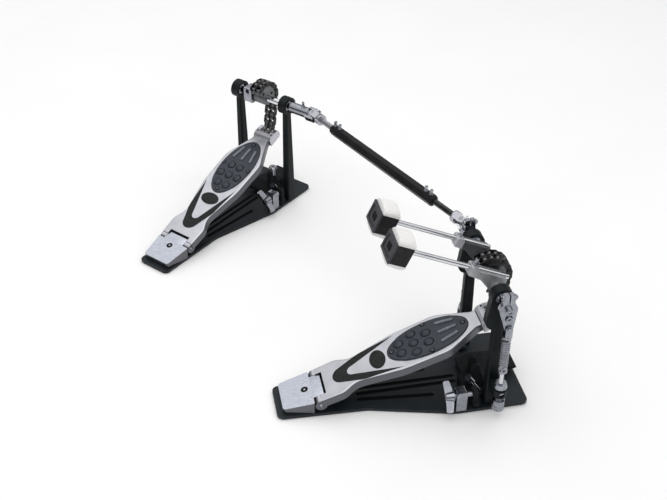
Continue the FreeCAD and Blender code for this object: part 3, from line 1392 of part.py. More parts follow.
def save_frames():
    """Fixed pieces of both pedals."""
    main = (MAIN_LEFT_POST_X, MAIN_RIGHT_EDGE, MAIN_WAIST_HALF)
    second = (SECOND_LEFT_POST_X, SECOND_RIGHT_EDGE, SECOND_WAIST_HALF)
    save("master_base_plate", base_plate(*main))
    save("slave_base_plate", placed(base_plate(*second), SECOND))
    save("base_soles", base_sole(*main), placed(base_sole(*second), SECOND))
    save("heel_plates", heel_plate(), placed(heel_plate(), SECOND))
    save("hinge_pins", hinge_pin(), placed(hinge_pin(), SECOND))
    right_post = post(RIGHT_POST_X, True, RIGHT_SPRING_OFFSET)
    left_post = post(MAIN_LEFT_POST_X, True, -LEFT_SPRING_OFFSET)
    save("master_posts", right_post, left_post)
    second_posts = [post(x, False, 0) for x in (RIGHT_POST_X, SECOND_LEFT_POST_X)]
    save("slave_posts", *[placed(p, SECOND) for p in second_posts])
    rings = [bearing(x) for x in (RIGHT_POST_X, MAIN_LEFT_POST_X)]
    rings += [placed(bearing(x), SECOND) for x in (RIGHT_POST_X, SECOND_LEFT_POST_X)]
    save("bearings", *rings)
    spikes = [floor_spike(x) for x in spike_places(MAIN_LEFT_POST_X)]
    spikes += [placed(floor_spike(x), SECOND) for x in spike_places(SECOND_LEFT_POST_X)]
    save("floor_spikes", *spikes)
    brackets = [clamp_bracket(x) for x in (MAIN_LEFT_POST_X, SECOND_LEFT_POST_X)]
    save("clamp_brackets", brackets[0], placed(brackets[1], SECOND))
    save("clamp_blocks", clamp_block(MAIN_WING_X), placed(clamp_block(SECOND_WING_X), SECOND))


def save_pedal(name, place, left_post_x, wing_x):
    """Moving pieces that both pedals have."""
    save(name + "_footboard", placed(footboard(), place))
    save(name + "_footboard_pad", placed(footboard_pad(), place))
    save(name + "_toe_link", placed(toe_link(), place))
    save(name + "_cam", placed(cam(), place))
    save(name + "_chain_wrap", placed(chain_wrap(), place))
    save(name + "_chain_strand", placed(chain_strand(), place))
    for index in range(1, FREE_LINKS + 1):
        solids = [placed(s, place) for s in free_link(index)]
        save(name + "_chain_link_" + str(index), *solids)
    save(name + "_clamp_lever", placed(clamp_lever(left_post_x, wing_x), place))
    save(name + "_wing_bolt", placed(wing_bolt(wing_x), place))


def save_beater(name, x, lift, spring_x):
    """One beater with its hub and its return spring."""
    save(name + "_beater_hub", beater_hub(x))
    save(name + "_beater_rod", beater_rod(x, lift))
    save(name + "_beater_core", beater_core(x, lift))
    save(name + "_beater_felts", *beater_felts(x, lift))
    save(name + "_rocker", rocker(spring_x))
    save(name + "_spring_hook", spring_hook(spring_x))
    save(name + "_spring", spring(spring_x))
    save(name + "_spring_rod", spring_rod(spring_x))
    save(name + "_tension_nut", tension_nut(spring_x))


def save_drive():
    """Axles, universal joints and the shaft between the pedals."""
    save("right_axle", right_axle())
    save("left_shaft", left_shaft())
    save("master_cross", cross(MAIN_PIN, SHAFT_PIN, MAIN_JOINT))
    save("slave_cross", cross(SECOND_PIN_THERE, SHAFT_PIN, SECOND_JOINT))
    save("drive_tube", drive_tube())
    whole = (MAIN_JOINT - SECOND_JOINT).Length
    near = end_shaft(SECOND_JOINT, SHAFT_AXIS, TUBE_START + SHAFT_INSERT)
    far = end_shaft(MAIN_JOINT, -SHAFT_AXIS, whole - TUBE_END + SHAFT_INSERT)
    save("drive_end_shafts", near, far)
    save("slave_axle", placed(second_axle(), SECOND))
    save("slave_yoke", placed(second_yoke(), SECOND))
    save("slave_hub_block", placed(hub_block(), SECOND))


os.makedirs("parts", exist_ok=True)
save_frames()
save_pedal("master", Placement(), MAIN_LEFT_POST_X, MAIN_WING_X)
save_pedal("slave", SECOND, SECOND_LEFT_POST_X, SECOND_WING_X)
save_beater("right", RIGHT_BEATER_X, 0, RIGHT_SPRING_X)
save_beater("left", LEFT_BEATER_X, LEFT_ROD_LIFT, LEFT_SPRING_X)
save_drive()
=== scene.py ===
import json
import math

import bmesh
import bpy
from mathutils import Matrix, Vector


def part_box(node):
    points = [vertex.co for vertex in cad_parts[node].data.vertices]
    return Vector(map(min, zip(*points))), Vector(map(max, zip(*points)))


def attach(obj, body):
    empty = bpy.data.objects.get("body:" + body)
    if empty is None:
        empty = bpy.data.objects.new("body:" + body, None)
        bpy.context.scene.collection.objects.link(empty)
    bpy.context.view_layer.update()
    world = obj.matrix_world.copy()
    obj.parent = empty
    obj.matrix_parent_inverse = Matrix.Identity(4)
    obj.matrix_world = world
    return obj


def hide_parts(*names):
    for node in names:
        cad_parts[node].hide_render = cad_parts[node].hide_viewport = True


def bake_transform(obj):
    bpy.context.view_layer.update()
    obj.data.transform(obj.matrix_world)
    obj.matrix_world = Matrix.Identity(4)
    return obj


# Looks of the double bass drum pedal. The frame of the solids: X to the player's right, Y towards the
# drum, Z up. Sizes are in millimetres, as in the part's source, and MM brings them to the scene's metres.
# What both pedals have is drawn on the main pedal and carried to each pedal's place.
# Every solid takes a finish. Pads, felts and springs take the place of plain solids, and small fasteners
# and trim are added.

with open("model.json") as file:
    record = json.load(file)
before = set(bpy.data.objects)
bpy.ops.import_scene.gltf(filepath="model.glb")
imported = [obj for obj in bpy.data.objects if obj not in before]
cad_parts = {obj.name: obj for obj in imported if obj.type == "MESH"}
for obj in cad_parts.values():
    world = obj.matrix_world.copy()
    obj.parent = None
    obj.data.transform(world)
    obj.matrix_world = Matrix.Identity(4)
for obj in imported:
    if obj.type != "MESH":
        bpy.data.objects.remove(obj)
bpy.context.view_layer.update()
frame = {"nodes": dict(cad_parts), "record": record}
JOINTS = {joint["name"]: joint for joint in frame["record"]["behaviour"]["joints"]}
MM = 0.001

# Base and heel plate, as in the solids. A groove has a place off the middle line, a length and a turn.
PLATE_TOP = 6.5
GROOVE_WIDTH = 4.0
GROOVE_DEPTH = 1.6
GROOVE_START_Y = 66.0
GROOVES = ((6.0, 158.0, 0.0), (17.5, 118.0, math.radians(5.5)))
HEEL_SLOPE = math.radians(13.0)
TONGUE_HALF = 22.0

# Footboard, as in the solids, drawn flat from the heel towards the toe and then tilted
FOOT_TILT = math.radians(21.4)
FOOT_Z = 26.9
PAD_CENTRE = 188.4
PAD_HALF_LENGTH = 65.0
PAD_HALF_WIDTH = 33.0
PAD_T = 3.6
PAD_RECESS = 1.6
PAD_TOP = PAD_T - PAD_RECESS
BUMP_R = 7.2
BUMP_ROW_STEP = 22.0
BUMP_SPREAD = 19.7
BUMP_ROWS = ((-2, (-0.5, 0.5)), (-1, (-1, 0, 1)), (0, (-0.5, 0.5)))
RIB_SIDES = (-1, 0, 1)
RIB_START = 16.6
RIB_SPREAD = 20.0
RIB_LENGTH = 30.0
RIB_FAN = math.radians(12.0)
INLAY_DEPTH = 0.8
INLAY = ((35, 142, 0), (27.5, 80, 60), (0, 5, 15.6), (-27.5, 80, 60), (-35, 142, 0), (0, 41.5, 8.3))
BADGE_CENTRE = 107.5
BADGE_HALF_LENGTH = 12.5
BADGE_HALF_WIDTH = 19.0

# Beaters, as in the solids, drawn upright on the axle and then laid back
BEATER_REST = math.radians(66.0)
BEATER_X = {"right": 25.0, "left": -45.0}
BEATER_LIFT = {"right": 0.0, "left": 5.0}
ROD_OFFSET = 14.5
HUB_LUG_START = 38.0
HUB_LUG_TOP = 20.5
HUB_REACH = 50.0
HEAD_START = 147.0
HEAD_LENGTH = 27.3
HEAD_END = HEAD_START + HEAD_LENGTH
HEAD_HALF_WIDTH = 20.0
HEAD_CORE_HALF = 15.0
HEAD_CAP_T = 3.0
CAP_RECESS = 1.5
FELT_GAP = 0.2
FELT_INSET = 0.5
FELT_START = 1.0
FELT_CROWN = 12.0
FELT_CAP_CROWN = 8.0
FELT_EDGE = 1.0
FELT_FACE = HEAD_CORE_HALF + FELT_GAP
FELT_HALF = HEAD_HALF_WIDTH - FELT_INSET
FELT_LOW = HEAD_START + FELT_START
FELT_HIGH = HEAD_END - FELT_GAP

# Springs, rockers, chains and shaft, as in the solids
SPRING_FORWARD = 4.0
SPRING_TURNS = 13
COIL_R = 5.0
COIL_PITCH = 3.6
WIRE_R = 1.5
LEG_RISE = 3.2
CUP_Z = 61.0
CUP_T = 7.0
ROCKER_EAR_HALF = 8.0
ROCKER_T = 8.0
CHAIN_ROW_X = 5.5
ROLLER_HALF = 3.1
TUBE_FLATS = 17.5
TUBE_START = 56.0
TUBE_END = 338.0
SLEEVE_R = 10.0
SECOND_AXLE_END = -68.0

# Sizes of the looks alone
PAD_GAP = 0.2
BUMP_RISE = 2.8
BUMP_SEGMENTS = 40
RIB_HALF = 2.6
RIB_RISE = 2.4
FELT_END_R = 9.0
TIP_INSET = 1.4
TIP_HALF = TONGUE_HALF - TIP_INSET
TIP_LENGTH = 15.8
TIP_CORNER_R = 1.5
TIP_T = 4.0
CAP_FIELD_HALF_X = 7.5
CAP_FIELD_HALF_Y = 5.2
CAP_FIELD_R = 2.0
THREAD_TOP = 90.3
FORK_REACH = 20.0

# Places of small fasteners. The toe's dots: off the middle line, along the footboard and above its top.
# The left-foot pedal's stud and block screw: in that pedal's own frame, the screw's height from the axle.
TOE_DOT = (16.3, 279.5, 2.4)
HEEL_SCREW_Y = -11.0
PAD_SCREW_SIDE_INSET = 4.0
PAD_SCREW_END_INSET = 8.0
HUB_KEY_BACK = 8.5
HUB_KEY_RISE = 2.0
EAR_BOLT_RISE = 19.5
ROCKER_SCREW_FORWARD = 1.5
ROCKER_SCREW_DROP = 14.5
TUBE_SCREW_INSET = 9.0
TUBE_SCREW_STEP = 13.0
SLEEVE_SCREW_X = 95.0
SLEEVE_SCREW_SINK = 0.5
BLOCK_SCREW = (-24.2, 250.5, 9.0)
STUD_PLACE = (31.0, 244.0, 58.5)

# Camera at the photograph's place, and the light, in metres. A sky step is a height and a brightness.
EYE = (1.0891, -0.1742, 1.0916)
LOOK_X = -0.98225
LOOK_Y = 0.18759
LOOK_DOWN = math.radians(36.31)
LENS = 54.87
SENSOR = 36.0
FLOOR_REACH = 40.0
SKY_STEPS = ((0.0, 0.76), (0.08, 0.5), (0.15, 0.03), (0.4, 0.03), (0.47, 1.1))
SKY_STRENGTH = 0.82
LAMP_TARGET = Vector((-0.25, 0.1, 0.1))


def joint_place(name):
    """Where a joint lies, in millimetres."""
    return Vector(JOINTS[name]["pos_m"]) / MM


def pedal_places():
    """Matrix that carries each pedal's own frame into the part's frame, in millimetres."""
    hinge = joint_place("master_foot_hinge")
    there = joint_place("slave_foot_hinge")
    across = -Vector(JOINTS["slave_foot_hinge"]["axis"])
    turn = Matrix.Rotation(math.atan2(across.y, across.x), 4, "Z")
    shift = Matrix.Translation(there - turn @ hinge)
    return {"master": Matrix.Identity(4), "slave": shift @ turn}


AXLE = joint_place("right_beater_swing")
PLACES = pedal_places()
FOOT = Matrix.Translation((0, 0, FOOT_Z)) @ Matrix.Rotation(FOOT_TILT, 4, "X")
SECOND_JOINT = joint_place("slave_cross_pin")
SHAFT = joint_place("master_cross_pin") - SECOND_JOINT
SHAFT_AXIS = SHAFT.normalized()


def beater_matrix(side, lift=0.0):
    """Carries a beater drawn upright at the origin to its rest on the axle, slid out by lift."""
    axle = Matrix.Translation((BEATER_X[side], AXLE.y, AXLE.z))
    return axle @ Matrix.Rotation(BEATER_REST, 4, "X") @ Matrix.Translation((0, 0, lift))


# Materials


class Finish:
    """Principled finish whose colour and roughness wander between two values, with fine relief.

    Grain is the scale of the wandering. Relief is a scale, a strength and a depth in metres.
    """

    grain_detail = 6.0
    relief_detail = 3.0
    tint_stops = (0.3, 0.7)

    def __init__(self, name, dark, light, rough, grain, relief, metallic=0.0, stretch=(1, 1, 1), **sockets):
        self.name = name
        self.material = bpy.data.materials.new(name)
        self.material.use_nodes = True
        self.nodes = self.material.node_tree.nodes
        self.links = self.material.node_tree.links
        self.shader = self.nodes["Principled BSDF"]
        self.shader.inputs["Metallic"].default_value = metallic
        for socket, value in sockets.items():
            self.shader.inputs[socket.replace("_", " ")].default_value = value
        self.place = self.nodes.new("ShaderNodeTexCoord")
        self.scaling = self.nodes.new("ShaderNodeMapping")
        self.scaling.inputs["Scale"].default_value = stretch
        self.links.new(self.place.outputs["Object"], self.scaling.inputs["Vector"])
        self.grain = self.noise(grain, self.grain_detail)
        self.tint(dark, light)
        self.wear(*rough)
        self.raise_relief(*relief)

    def noise(self, scale, detail):
        """Cloud over the surface."""
        cloud = self.nodes.new("ShaderNodeTexNoise")
        cloud.inputs["Scale"].default_value = scale
        cloud.inputs["Detail"].default_value = detail
        self.links.new(self.scaling.outputs["Vector"], cloud.inputs["Vector"])
        return cloud.outputs["Fac"]

    def tint(self, dark, light):
        """Colour that wanders with the grain."""
        ramp = self.nodes.new("ShaderNodeValToRGB")
        for element, position, colour in zip(ramp.color_ramp.elements, self.tint_stops, (dark, light)):
            element.position = position
            element.color = (*colour, 1)
        self.links.new(self.grain, ramp.inputs["Fac"])
        self.colour = ramp.outputs["Color"]
        self.links.new(self.colour, self.shader.inputs["Base Color"])

    def wear(self, low, high):
        """Roughness that wanders with the grain."""
        spread = self.spread(self.grain, 0.0, 1.0)
        spread.inputs["To Min"].default_value = low
        spread.inputs["To Max"].default_value = high
        self.links.new(spread.outputs["Result"], self.shader.inputs["Roughness"])

    def raise_relief(self, scale, strength, depth):
        """Fine bumps."""
        height = self.noise(scale, self.relief_detail)
        raised = self.nodes.new("ShaderNodeBump")
        raised.inputs["Strength"].default_value = strength
        raised.inputs["Distance"].default_value = depth
        self.links.new(height, raised.inputs["Height"])
        self.links.new(raised.outputs["Normal"], self.shader.inputs["Normal"])

    def spread(self, value, low, high):
        """Share of the way of a value from low to high."""
        share = self.nodes.new("ShaderNodeMapRange")
        share.inputs["From Min"].default_value = low
        share.inputs["From Max"].default_value = high
        self.links.new(value, share.inputs["Value"])
        return share

    def blend_in(self, share, colour):
        """Another colour where the share is one."""
        mix = self.nodes.new("ShaderNodeMix")
        mix.data_type = "RGBA"
        factor, below, above = mix.inputs[0], mix.inputs[6], mix.inputs[7]
        self.links.new(share, factor)
        self.links.new(self.colour, below)
        above.default_value = (*colour, 1)
        self.colour = mix.outputs[2]
        self.links.new(self.colour, self.shader.inputs["Base Color"])

    def sides(self, colour):
        """Painted light and shade: another colour on the upright walls, for how light falls on them."""
        top_slope = 0.8
        wall_slope = 0.5
        parts = self.nodes.new("ShaderNodeSeparateXYZ")
        self.links.new(self.place.outputs["Normal"], parts.inputs["Vector"])
        self.blend_in(self.spread(parts.outputs["Z"], top_slope, wall_slope).outputs["Result"], colour)
        return self

    def distance(self, axis, origin):
        """How far a point lies from origin along an axis, in metres."""
        along = self.nodes.new("ShaderNodeVectorMath")
        along.operation = "DOT_PRODUCT"
        along.inputs[1].default_value = axis
        self.links.new(self.place.outputs["Object"], along.inputs[0])
        return self.maths("SUBTRACT", along.outputs["Value"], Vector(axis).dot(origin) * MM)

    def maths(self, operation, value, other=0.0):
        """Result of one sum."""
        node = self.nodes.new("ShaderNodeMath")
        node.operation = operation
        node.inputs[1].default_value = other
        self.links.new(value, node.inputs[0])
        return node.outputs["Value"]

    def beyond(self, axis, origin, level, colour):
        """Another colour beyond a level along an axis."""
        soft = 0.2
        away = self.distance(axis, origin)
        share = self.spread(away, (level - soft) * MM, (level + soft) * MM)
        self.blend_in(share.outputs["Result"], colour)
        return self

    def beyond_on_beater(self, matrix, level, colour):
        """Another colour beyond a level along a beater's rod."""
        along = matrix.to_3x3() @ Vector((0, 0, 1))
        return self.beyond(along, matrix.translation, level, colour)

    def paint_roller_highlights(self, axis, origin, colour):
        """Painted highlight: a lighter grey on the two roller rows of a chain, standing in for their
        glints.
        """
        off_middle = self.maths("ABSOLUTE", self.distance(axis, origin))
        off_row = self.maths("ABSOLUTE", self.maths("SUBTRACT", off_middle, CHAIN_ROW_X * MM))
        self.blend_in(self.maths("LESS_THAN", off_row, ROLLER_HALF * MM), colour)
        return self


def board_finish(name, painted_wall_colour):
    """Satin silver whose upright walls take another colour as painted light and shade."""
    finish = Finish(
        name, dark=(0.43, 0.435, 0.47), light=(0.53, 0.535, 0.575), rough=(0.26, 0.36),
        grain=40, relief=(1700, 0.10, 0.0002), metallic=0.9)
    return finish.sides(painted_wall_colour)


def heel_finish():
    """Silver brushed along the foot, with its walls darkened as painted shade."""
    finish = Finish(
        "heel_silver", dark=(0.375, 0.40, 0.46), light=(0.51, 0.53, 0.59), rough=(0.20, 0.30),
        grain=60, relief=(500, 0.14, 0.0002), metallic=0.95, stretch=(14, 1, 14))
    return finish.sides((0.14, 0.14, 0.155))


def grey_finish(name, dark, light):
    """Grey casting."""
    return Finish(
        name, dark, light, rough=(0.30, 0.42), grain=120, relief=(800, 0.3, 0.0003), metallic=0.6)


def shaft_finish():
    """Inner shafts: dark, with a pale bare-metal fork at the main pedal; at the left-foot pedal fork and
    shaft alike are pale, the shaft's paleness a painted reflection.
    """
    fork_metal_and_painted_reflection = (0.46, 0.46, 0.50)
    finish = Finish(
        "shaft_dark", dark=(0.040, 0.042, 0.044), light=(0.080, 0.083, 0.086), rough=(0.2, 0.34),
        grain=110, relief=(1300, 0.15, 0.0002), metallic=0.8)
    finish.beyond(SHAFT_AXIS, SECOND_JOINT, SHAFT.length - FORK_REACH, fork_metal_and_painted_reflection)
    # The left-foot end's shaft is painted pale as a painted reflection; its fork is bare metal.
    return finish.beyond(-SHAFT_AXIS, SECOND_JOINT, -TUBE_START, fork_metal_and_painted_reflection)


def hub_finish():
    """Left beater's hub: dark casting whose split lug is bare metal."""
    overlap = 1.0
    finish = Finish(
        "hub_dark", dark=(0.045, 0.047, 0.050), light=(0.085, 0.088, 0.094), rough=(0.3, 0.45),
        grain=90, relief=(900, 0.25, 0.0003), metallic=0.35)
    return finish.beyond_on_beater(beater_matrix("left"), HUB_LUG_START - overlap, (0.42, 0.42, 0.45))


def core_finish(side):
    """Black head with a dark grey end cap."""
    finish = Finish(
        "core_" + side, dark=(0.005, 0.005, 0.006), light=(0.013, 0.013, 0.015), rough=(0.5, 0.62),
        grain=130, relief=(1200, 0.25, 0.0002), Specular_IOR_Level=0.25)
    matrix = beater_matrix(side, BEATER_LIFT[side])
    return finish.beyond_on_beater(matrix, HEAD_END, (0.045, 0.045, 0.052))


def chain_finish(pedal):
    """Black plates, with lighter grey on the roller rows as a painted highlight."""
    finish = Finish(
        "chain_" + pedal, dark=(0.010, 0.010, 0.011), light=(0.045, 0.045, 0.048), rough=(0.22, 0.4),
        grain=260, relief=(1400, 0.2, 0.0002), metallic=0.7)
    across = PLACES[pedal].to_3x3() @ Vector((1, 0, 0))
    # Roller rows lighter grey: a painted highlight.
    return finish.paint_roller_highlights(across, PLACES[pedal].translation, (0.15, 0.145, 0.15))


METALS = [
    # Walls: the footboard's darkened as painted shade, the toe link's lightened as painted light.
    board_finish("board_silver", (0.13, 0.135, 0.15)),
    board_finish("toe_silver", (0.52, 0.52, 0.56)),
    heel_finish(),
    Finish(
        "chrome", dark=(0.60, 0.61, 0.64), light=(0.74, 0.75, 0.78), rough=(0.05, 0.11),
        grain=40, relief=(600, 0.04, 0.0001), metallic=1.0),
    Finish(
        "steel", dark=(0.24, 0.25, 0.28), light=(0.36, 0.37, 0.41), rough=(0.16, 0.24),
        grain=110, relief=(1300, 0.06, 0.0001), metallic=1.0),
    Finish(
        "dark_steel", dark=(0.06, 0.062, 0.068), light=(0.13, 0.133, 0.145), rough=(0.26, 0.4),
        grain=110, relief=(1300, 0.2, 0.0002), metallic=0.8),
    grey_finish("cast_grey", dark=(0.30, 0.31, 0.32), light=(0.44, 0.45, 0.47)),
    grey_finish("cam_grey", dark=(0.10, 0.105, 0.11), light=(0.17, 0.175, 0.185)),
    shaft_finish(),
    hub_finish(),
    chain_finish("master"),
    chain_finish("slave"),
]
BLACKS = [
    Finish(
        "base_black", dark=(0.006, 0.010, 0.013), light=(0.013, 0.018, 0.023), rough=(0.42, 0.56),
        grain=60, relief=(900, 0.15, 0.0002), Specular_IOR_Level=0.3),
    Finish(
        "cast_black", dark=(0.003, 0.005, 0.006), light=(0.008, 0.012, 0.0135), rough=(0.42, 0.56),
        grain=70, relief=(1100, 0.2, 0.0002), Specular_IOR_Level=0.17),
    Finish(
        "bracket_black", dark=(0.005, 0.006, 0.007), light=(0.014, 0.016, 0.017), rough=(0.75, 0.9),
        grain=70, relief=(1100, 0.2, 0.0002), Specular_IOR_Level=0.2),
    Finish(
        "tube_black", dark=(0.004, 0.004, 0.005), light=(0.010, 0.010, 0.011), rough=(0.34, 0.46),
        grain=50, relief=(700, 0.06, 0.0001), Specular_IOR_Level=0.25),
    Finish(
        "inlay_black", dark=(0.012, 0.014, 0.014), light=(0.022, 0.024, 0.024), rough=(0.5, 0.65),
        grain=90, relief=(1500, 0.2, 0.0002), Specular_IOR_Level=0.15),
    Finish(
        "deep_black", dark=(0.003, 0.003, 0.003), light=(0.007, 0.007, 0.007), rough=(0.6, 0.75),
        grain=90, relief=(1500, 0.2, 0.0002), Specular_IOR_Level=0.1),
    core_finish("right"),
    core_finish("left"),
]
SOFT = [
    Finish(
        "sole_rubber", dark=(0.008, 0.008, 0.008), light=(0.016, 0.016, 0.016), rough=(0.7, 0.85),
        grain=90, relief=(700, 0.4, 0.0004)),
    Finish(
        "pad_rubber", dark=(0.013, 0.019, 0.029), light=(0.025, 0.033, 0.047), rough=(0.34, 0.46),
        grain=120, relief=(1800, 0.25, 0.0002), Specular_IOR_Level=0.4),
    # Ribs: rubber painted lighter grey as a painted highlight.
    Finish(
        "rib_painted_highlight", dark=(0.115, 0.13, 0.155), light=(0.18, 0.20, 0.23), rough=(0.28, 0.4),
        grain=120, relief=(1800, 0.2, 0.0002)),
    Finish(
        "felt_white", dark=(0.80, 0.775, 0.765), light=(0.94, 0.925, 0.92), rough=(0.85, 0.98),
        grain=420, relief=(2600, 0.75, 0.0007), Sheen_Weight=0.3),
]
FINISHES = {finish.name: finish for finish in METALS + BLACKS + SOFT}

# Solids whose finish isn't that of their slot
NODE_FINISH = {
    "right_beater_hub": "cast_grey",
    "left_beater_hub": "hub_dark",
    "right_beater_core": "core_right",
    "left_beater_core": "core_left",
    "drive_end_shafts": "shaft_dark",
    "slave_cam": "cam_grey",
    "clamp_brackets": "bracket_black",
    "master_clamp_lever": "bracket_black",
    "slave_clamp_lever": "bracket_black",
    "master_toe_link": "toe_silver",
    "slave_toe_link": "toe_silver",
}


def dress_solids():
    """Every solid takes its own finish, or its pedal's chain finish, or the finish of its slot."""
    for part in frame["record"]["subparts"]:
        node = part["node"]
        look = NODE_FINISH.get(node, part["material_slot"])
        if look == "chain_black":
            look = "chain_" + node.split("_")[0]
        mesh = frame["nodes"][node].data
        mesh.materials.clear()
        mesh.materials.append(FINISHES[look].material)


# Building pieces, drawn in millimetres


def piece(name, mesh, matrix, body, slot, look=None, crisp=35):
    """Object put in place, riding on a body, with a finish and with edges crisp above an angle."""
    obj = bpy.data.objects.new(name, mesh)
    bpy.context.scene.collection.objects.link(obj)
    mesh.transform(Matrix.Scale(MM, 4) @ matrix)
    mesh.materials.append(FINISHES[look or slot].material)
    for face in mesh.polygons:
        face.use_smooth = True
    if crisp:
        mesh.set_sharp_from_angle(angle=math.radians(crisp))
    if body:
        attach(obj, body)
    return obj


def to_mesh(name, build):
    """Mesh from a finished build, with its faces turned outwards."""
    bmesh.ops.recalc_face_normals(build, faces=build.faces)
    mesh = bpy.data.meshes.new(name)
    build.to_mesh(mesh)
    build.free()
    return mesh


def add_lathe(build, profile, segments, x=0.0, y=0.0):
    """Closed form turned about an upright axis from (radius, height) points, the first and last on it."""
    rings = []
    for radius, height in profile:
        turns = [2 * math.pi * i / segments for i in range(segments if radius else 1)]
        places = [(x + radius * math.cos(t), y + radius * math.sin(t), height) for t in turns]
        rings.append([build.verts.new(place) for place in places])
    for low, high in zip(rings, rings[1:]):
        for i in range(segments):
            j = (i + 1) % segments
            corners = [low[i % len(low)], low[j % len(low)], high[j % len(high)], high[i % len(high)]]
            unique = list(dict.fromkeys(corners))
            if len(unique) > 2:
                build.faces.new(unique)


def turned(name, forms, matrix, body, slot, look=None):
    """Piece of one or more (profile, segments) forms turned about the same axis."""
    build = bmesh.new()
    for profile, segments in forms:
        add_lathe(build, profile, segments)
    return piece(name, to_mesh("turned", build), matrix, body, slot, look)


def add_plate(build, outline, low, high, bevel=0.0):
    """Flat plate with a closed (x, y) outline between two heights, its top edge rounded by the bevel."""
    face = build.faces.new([build.verts.new((x, y, low)) for x, y in outline])
    grown = bmesh.ops.extrude_face_region(build, geom=[face])
    top = {v for v in grown["geom"] if isinstance(v, bmesh.types.BMVert)}
    for vert in top:
        vert.co.z = high
    if bevel:
        edges = [e for e in build.edges if top.issuperset(e.verts)]
        bmesh.ops.bevel(build, geom=edges, offset=bevel, segments=3, affect="EDGES", profile=0.5)


def plate(outline, low, high, bevel=0.0):
    """Mesh of one such plate."""
    build = bmesh.new()
    add_plate(build, outline, low, high, bevel)
    return to_mesh("plate", build)


def rounded(corners, steps=8):
    """Outline points through (x, y, radius) corners, each corner rounded."""
    points = []
    count = len(corners)
    for i in range(count):
        here = Vector(corners[i][:2])
        back = (Vector(corners[i - 1][:2]) - here).normalized()
        ahead = (Vector(corners[(i + 1) % count][:2]) - here).normalized()
        radius = corners[i][2]
        if radius == 0:
            points.append(tuple(here))
            continue
        half = back.angle(ahead) / 2
        centre = here + (back + ahead).normalized() * (radius / math.sin(half))
        start = here + back * (radius / math.tan(half)) - centre
        end = here + ahead * (radius / math.tan(half)) - centre
        sweep = start.angle_signed(end)
        for k in range(steps + 1):
            points.append(tuple(centre + Matrix.Rotation(-sweep * k / steps, 2) @ start))
    return points


def rounded_box(half_width, low, high, radius):
    """Outline of a box across the Y axis, its four corners rounded."""
    corners = ((half_width, low), (half_width, high), (-half_width, high), (-half_width, low))
    return rounded([(x, y, radius) for x, y in corners])


def slot_outline(half_width, length):
    """Outline of a long slot along Y from the origin, its ends nearly half round."""
    roundness = 0.98
    return rounded_box(half_width, 0, length, half_width * roundness)


def ellipse(u, half_length, half_width, count=72):
    """Outline of an oval on the footboard."""
    turns = [2 * math.pi * i / count for i in range(count)]
    return [(half_width * math.cos(t), u + half_length * math.sin(t)) for t in turns]


def aim(point, direction):
    """Matrix that stands a piece built along Z on point, along direction."""
    return Matrix.Translation(point) @ Vector(direction).to_track_quat("Z", "Y").to_matrix().to_4x4()


def middle_x(node):
    """X of a node's middle."""
    low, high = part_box(node)
    return (low[0] + high[0]) / 2 / MM


# Rubber pads


def bump_places():
    """Centres of the domed bumps at the heel end of the pad."""
    places = []
    for row, spots in BUMP_ROWS:
        for spot in spots:
            places.append((spot * BUMP_SPREAD, PAD_CENTRE + row * BUMP_ROW_STEP))
    return places


def rib_outline(side, grow):
    """Outline of one of the three ribs that draw together towards the toe."""
    there = Matrix.Translation((side * RIB_SPREAD, PAD_CENTRE + RIB_START, 0))
    there = there @ Matrix.Rotation(side * RIB_FAN, 4, "Z") @ Matrix.Translation((0, -grow, 0))
    points = slot_outline(RIB_HALF + grow, RIB_LENGTH + 2 * grow)
    return [tuple((there @ Vector((x, y, 0))).xy) for x, y in points]


def pad_mesh():
    """Oval rubber pad with its bumps."""
    sink = 1.0
    edge_r = 1.2
    dome_steps = 8
    arc = [math.radians(90 * i / dome_steps) for i in range(dome_steps + 1)]
    dome = [(BUMP_R * math.sin(a), PAD_TOP + BUMP_RISE * math.cos(a)) for a in arc]
    dome += [(BUMP_R, PAD_TOP - sink), (0, PAD_TOP - sink)]
    build = bmesh.new()
    oval = ellipse(PAD_CENTRE, PAD_HALF_LENGTH - PAD_GAP, PAD_HALF_WIDTH - PAD_GAP, count=144)
    add_plate(build, oval, -PAD_RECESS, PAD_TOP, edge_r)
    for x, u in bump_places():
        add_lathe(build, dome, BUMP_SEGMENTS, x, u)
    return to_mesh("pad", build)


def pad_ribs_mesh():
    """Three ribs at the toe end of the pad, painted lighter than the pad as a painted highlight."""
    sink = 1.0
    edge_share = 0.7
    build = bmesh.new()
    for side in RIB_SIDES:
        outline = rib_outline(side, grow=0.0)
        add_plate(build, outline, PAD_TOP - sink, PAD_TOP + RIB_RISE, RIB_HALF * edge_share)
    return to_mesh("pad_ribs", build)


def pad_shade_rings_mesh():
    """Painted shade: thin dark rings round the bumps and ribs, standing in for the shade at their feet."""
    border = 0.9
    sink = 0.4
    proud = 0.05
    low = PAD_TOP - sink
    high = PAD_TOP + proud
    disc = [(0, high), (BUMP_R + border, high), (BUMP_R + border, low), (0, low)]
    build = bmesh.new()
    for x, u in bump_places():
        add_lathe(build, disc, BUMP_SEGMENTS, x, u)
    for side in RIB_SIDES:
        add_plate(build, rib_outline(side, grow=border / 2), low, high)
    return to_mesh("pad_shade_rings", build)


def footboard_pad(pedal):
    """Moulded rubber pad in the footboard's oval recess."""
    matrix = PLACES[pedal] @ FOOT
    body = pedal + "_foot"
    pad = piece(pedal + "_pad", pad_mesh(), matrix, body, "pad_rubber", crisp=50)
    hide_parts(pedal + "_footboard_pad")
    # Ribs in lighter rubber: a painted highlight.
    piece(pedal + "_pad_ribs", pad_ribs_mesh(), matrix, body, "pad_rubber", "rib_painted_highlight", crisp=50)
    # Dark rings of painted shade round the bumps and ribs.
    piece(pedal + "_pad_shade_rings", pad_shade_rings_mesh(), matrix, body, "pad_rubber", "deep_black")


# Beater felts


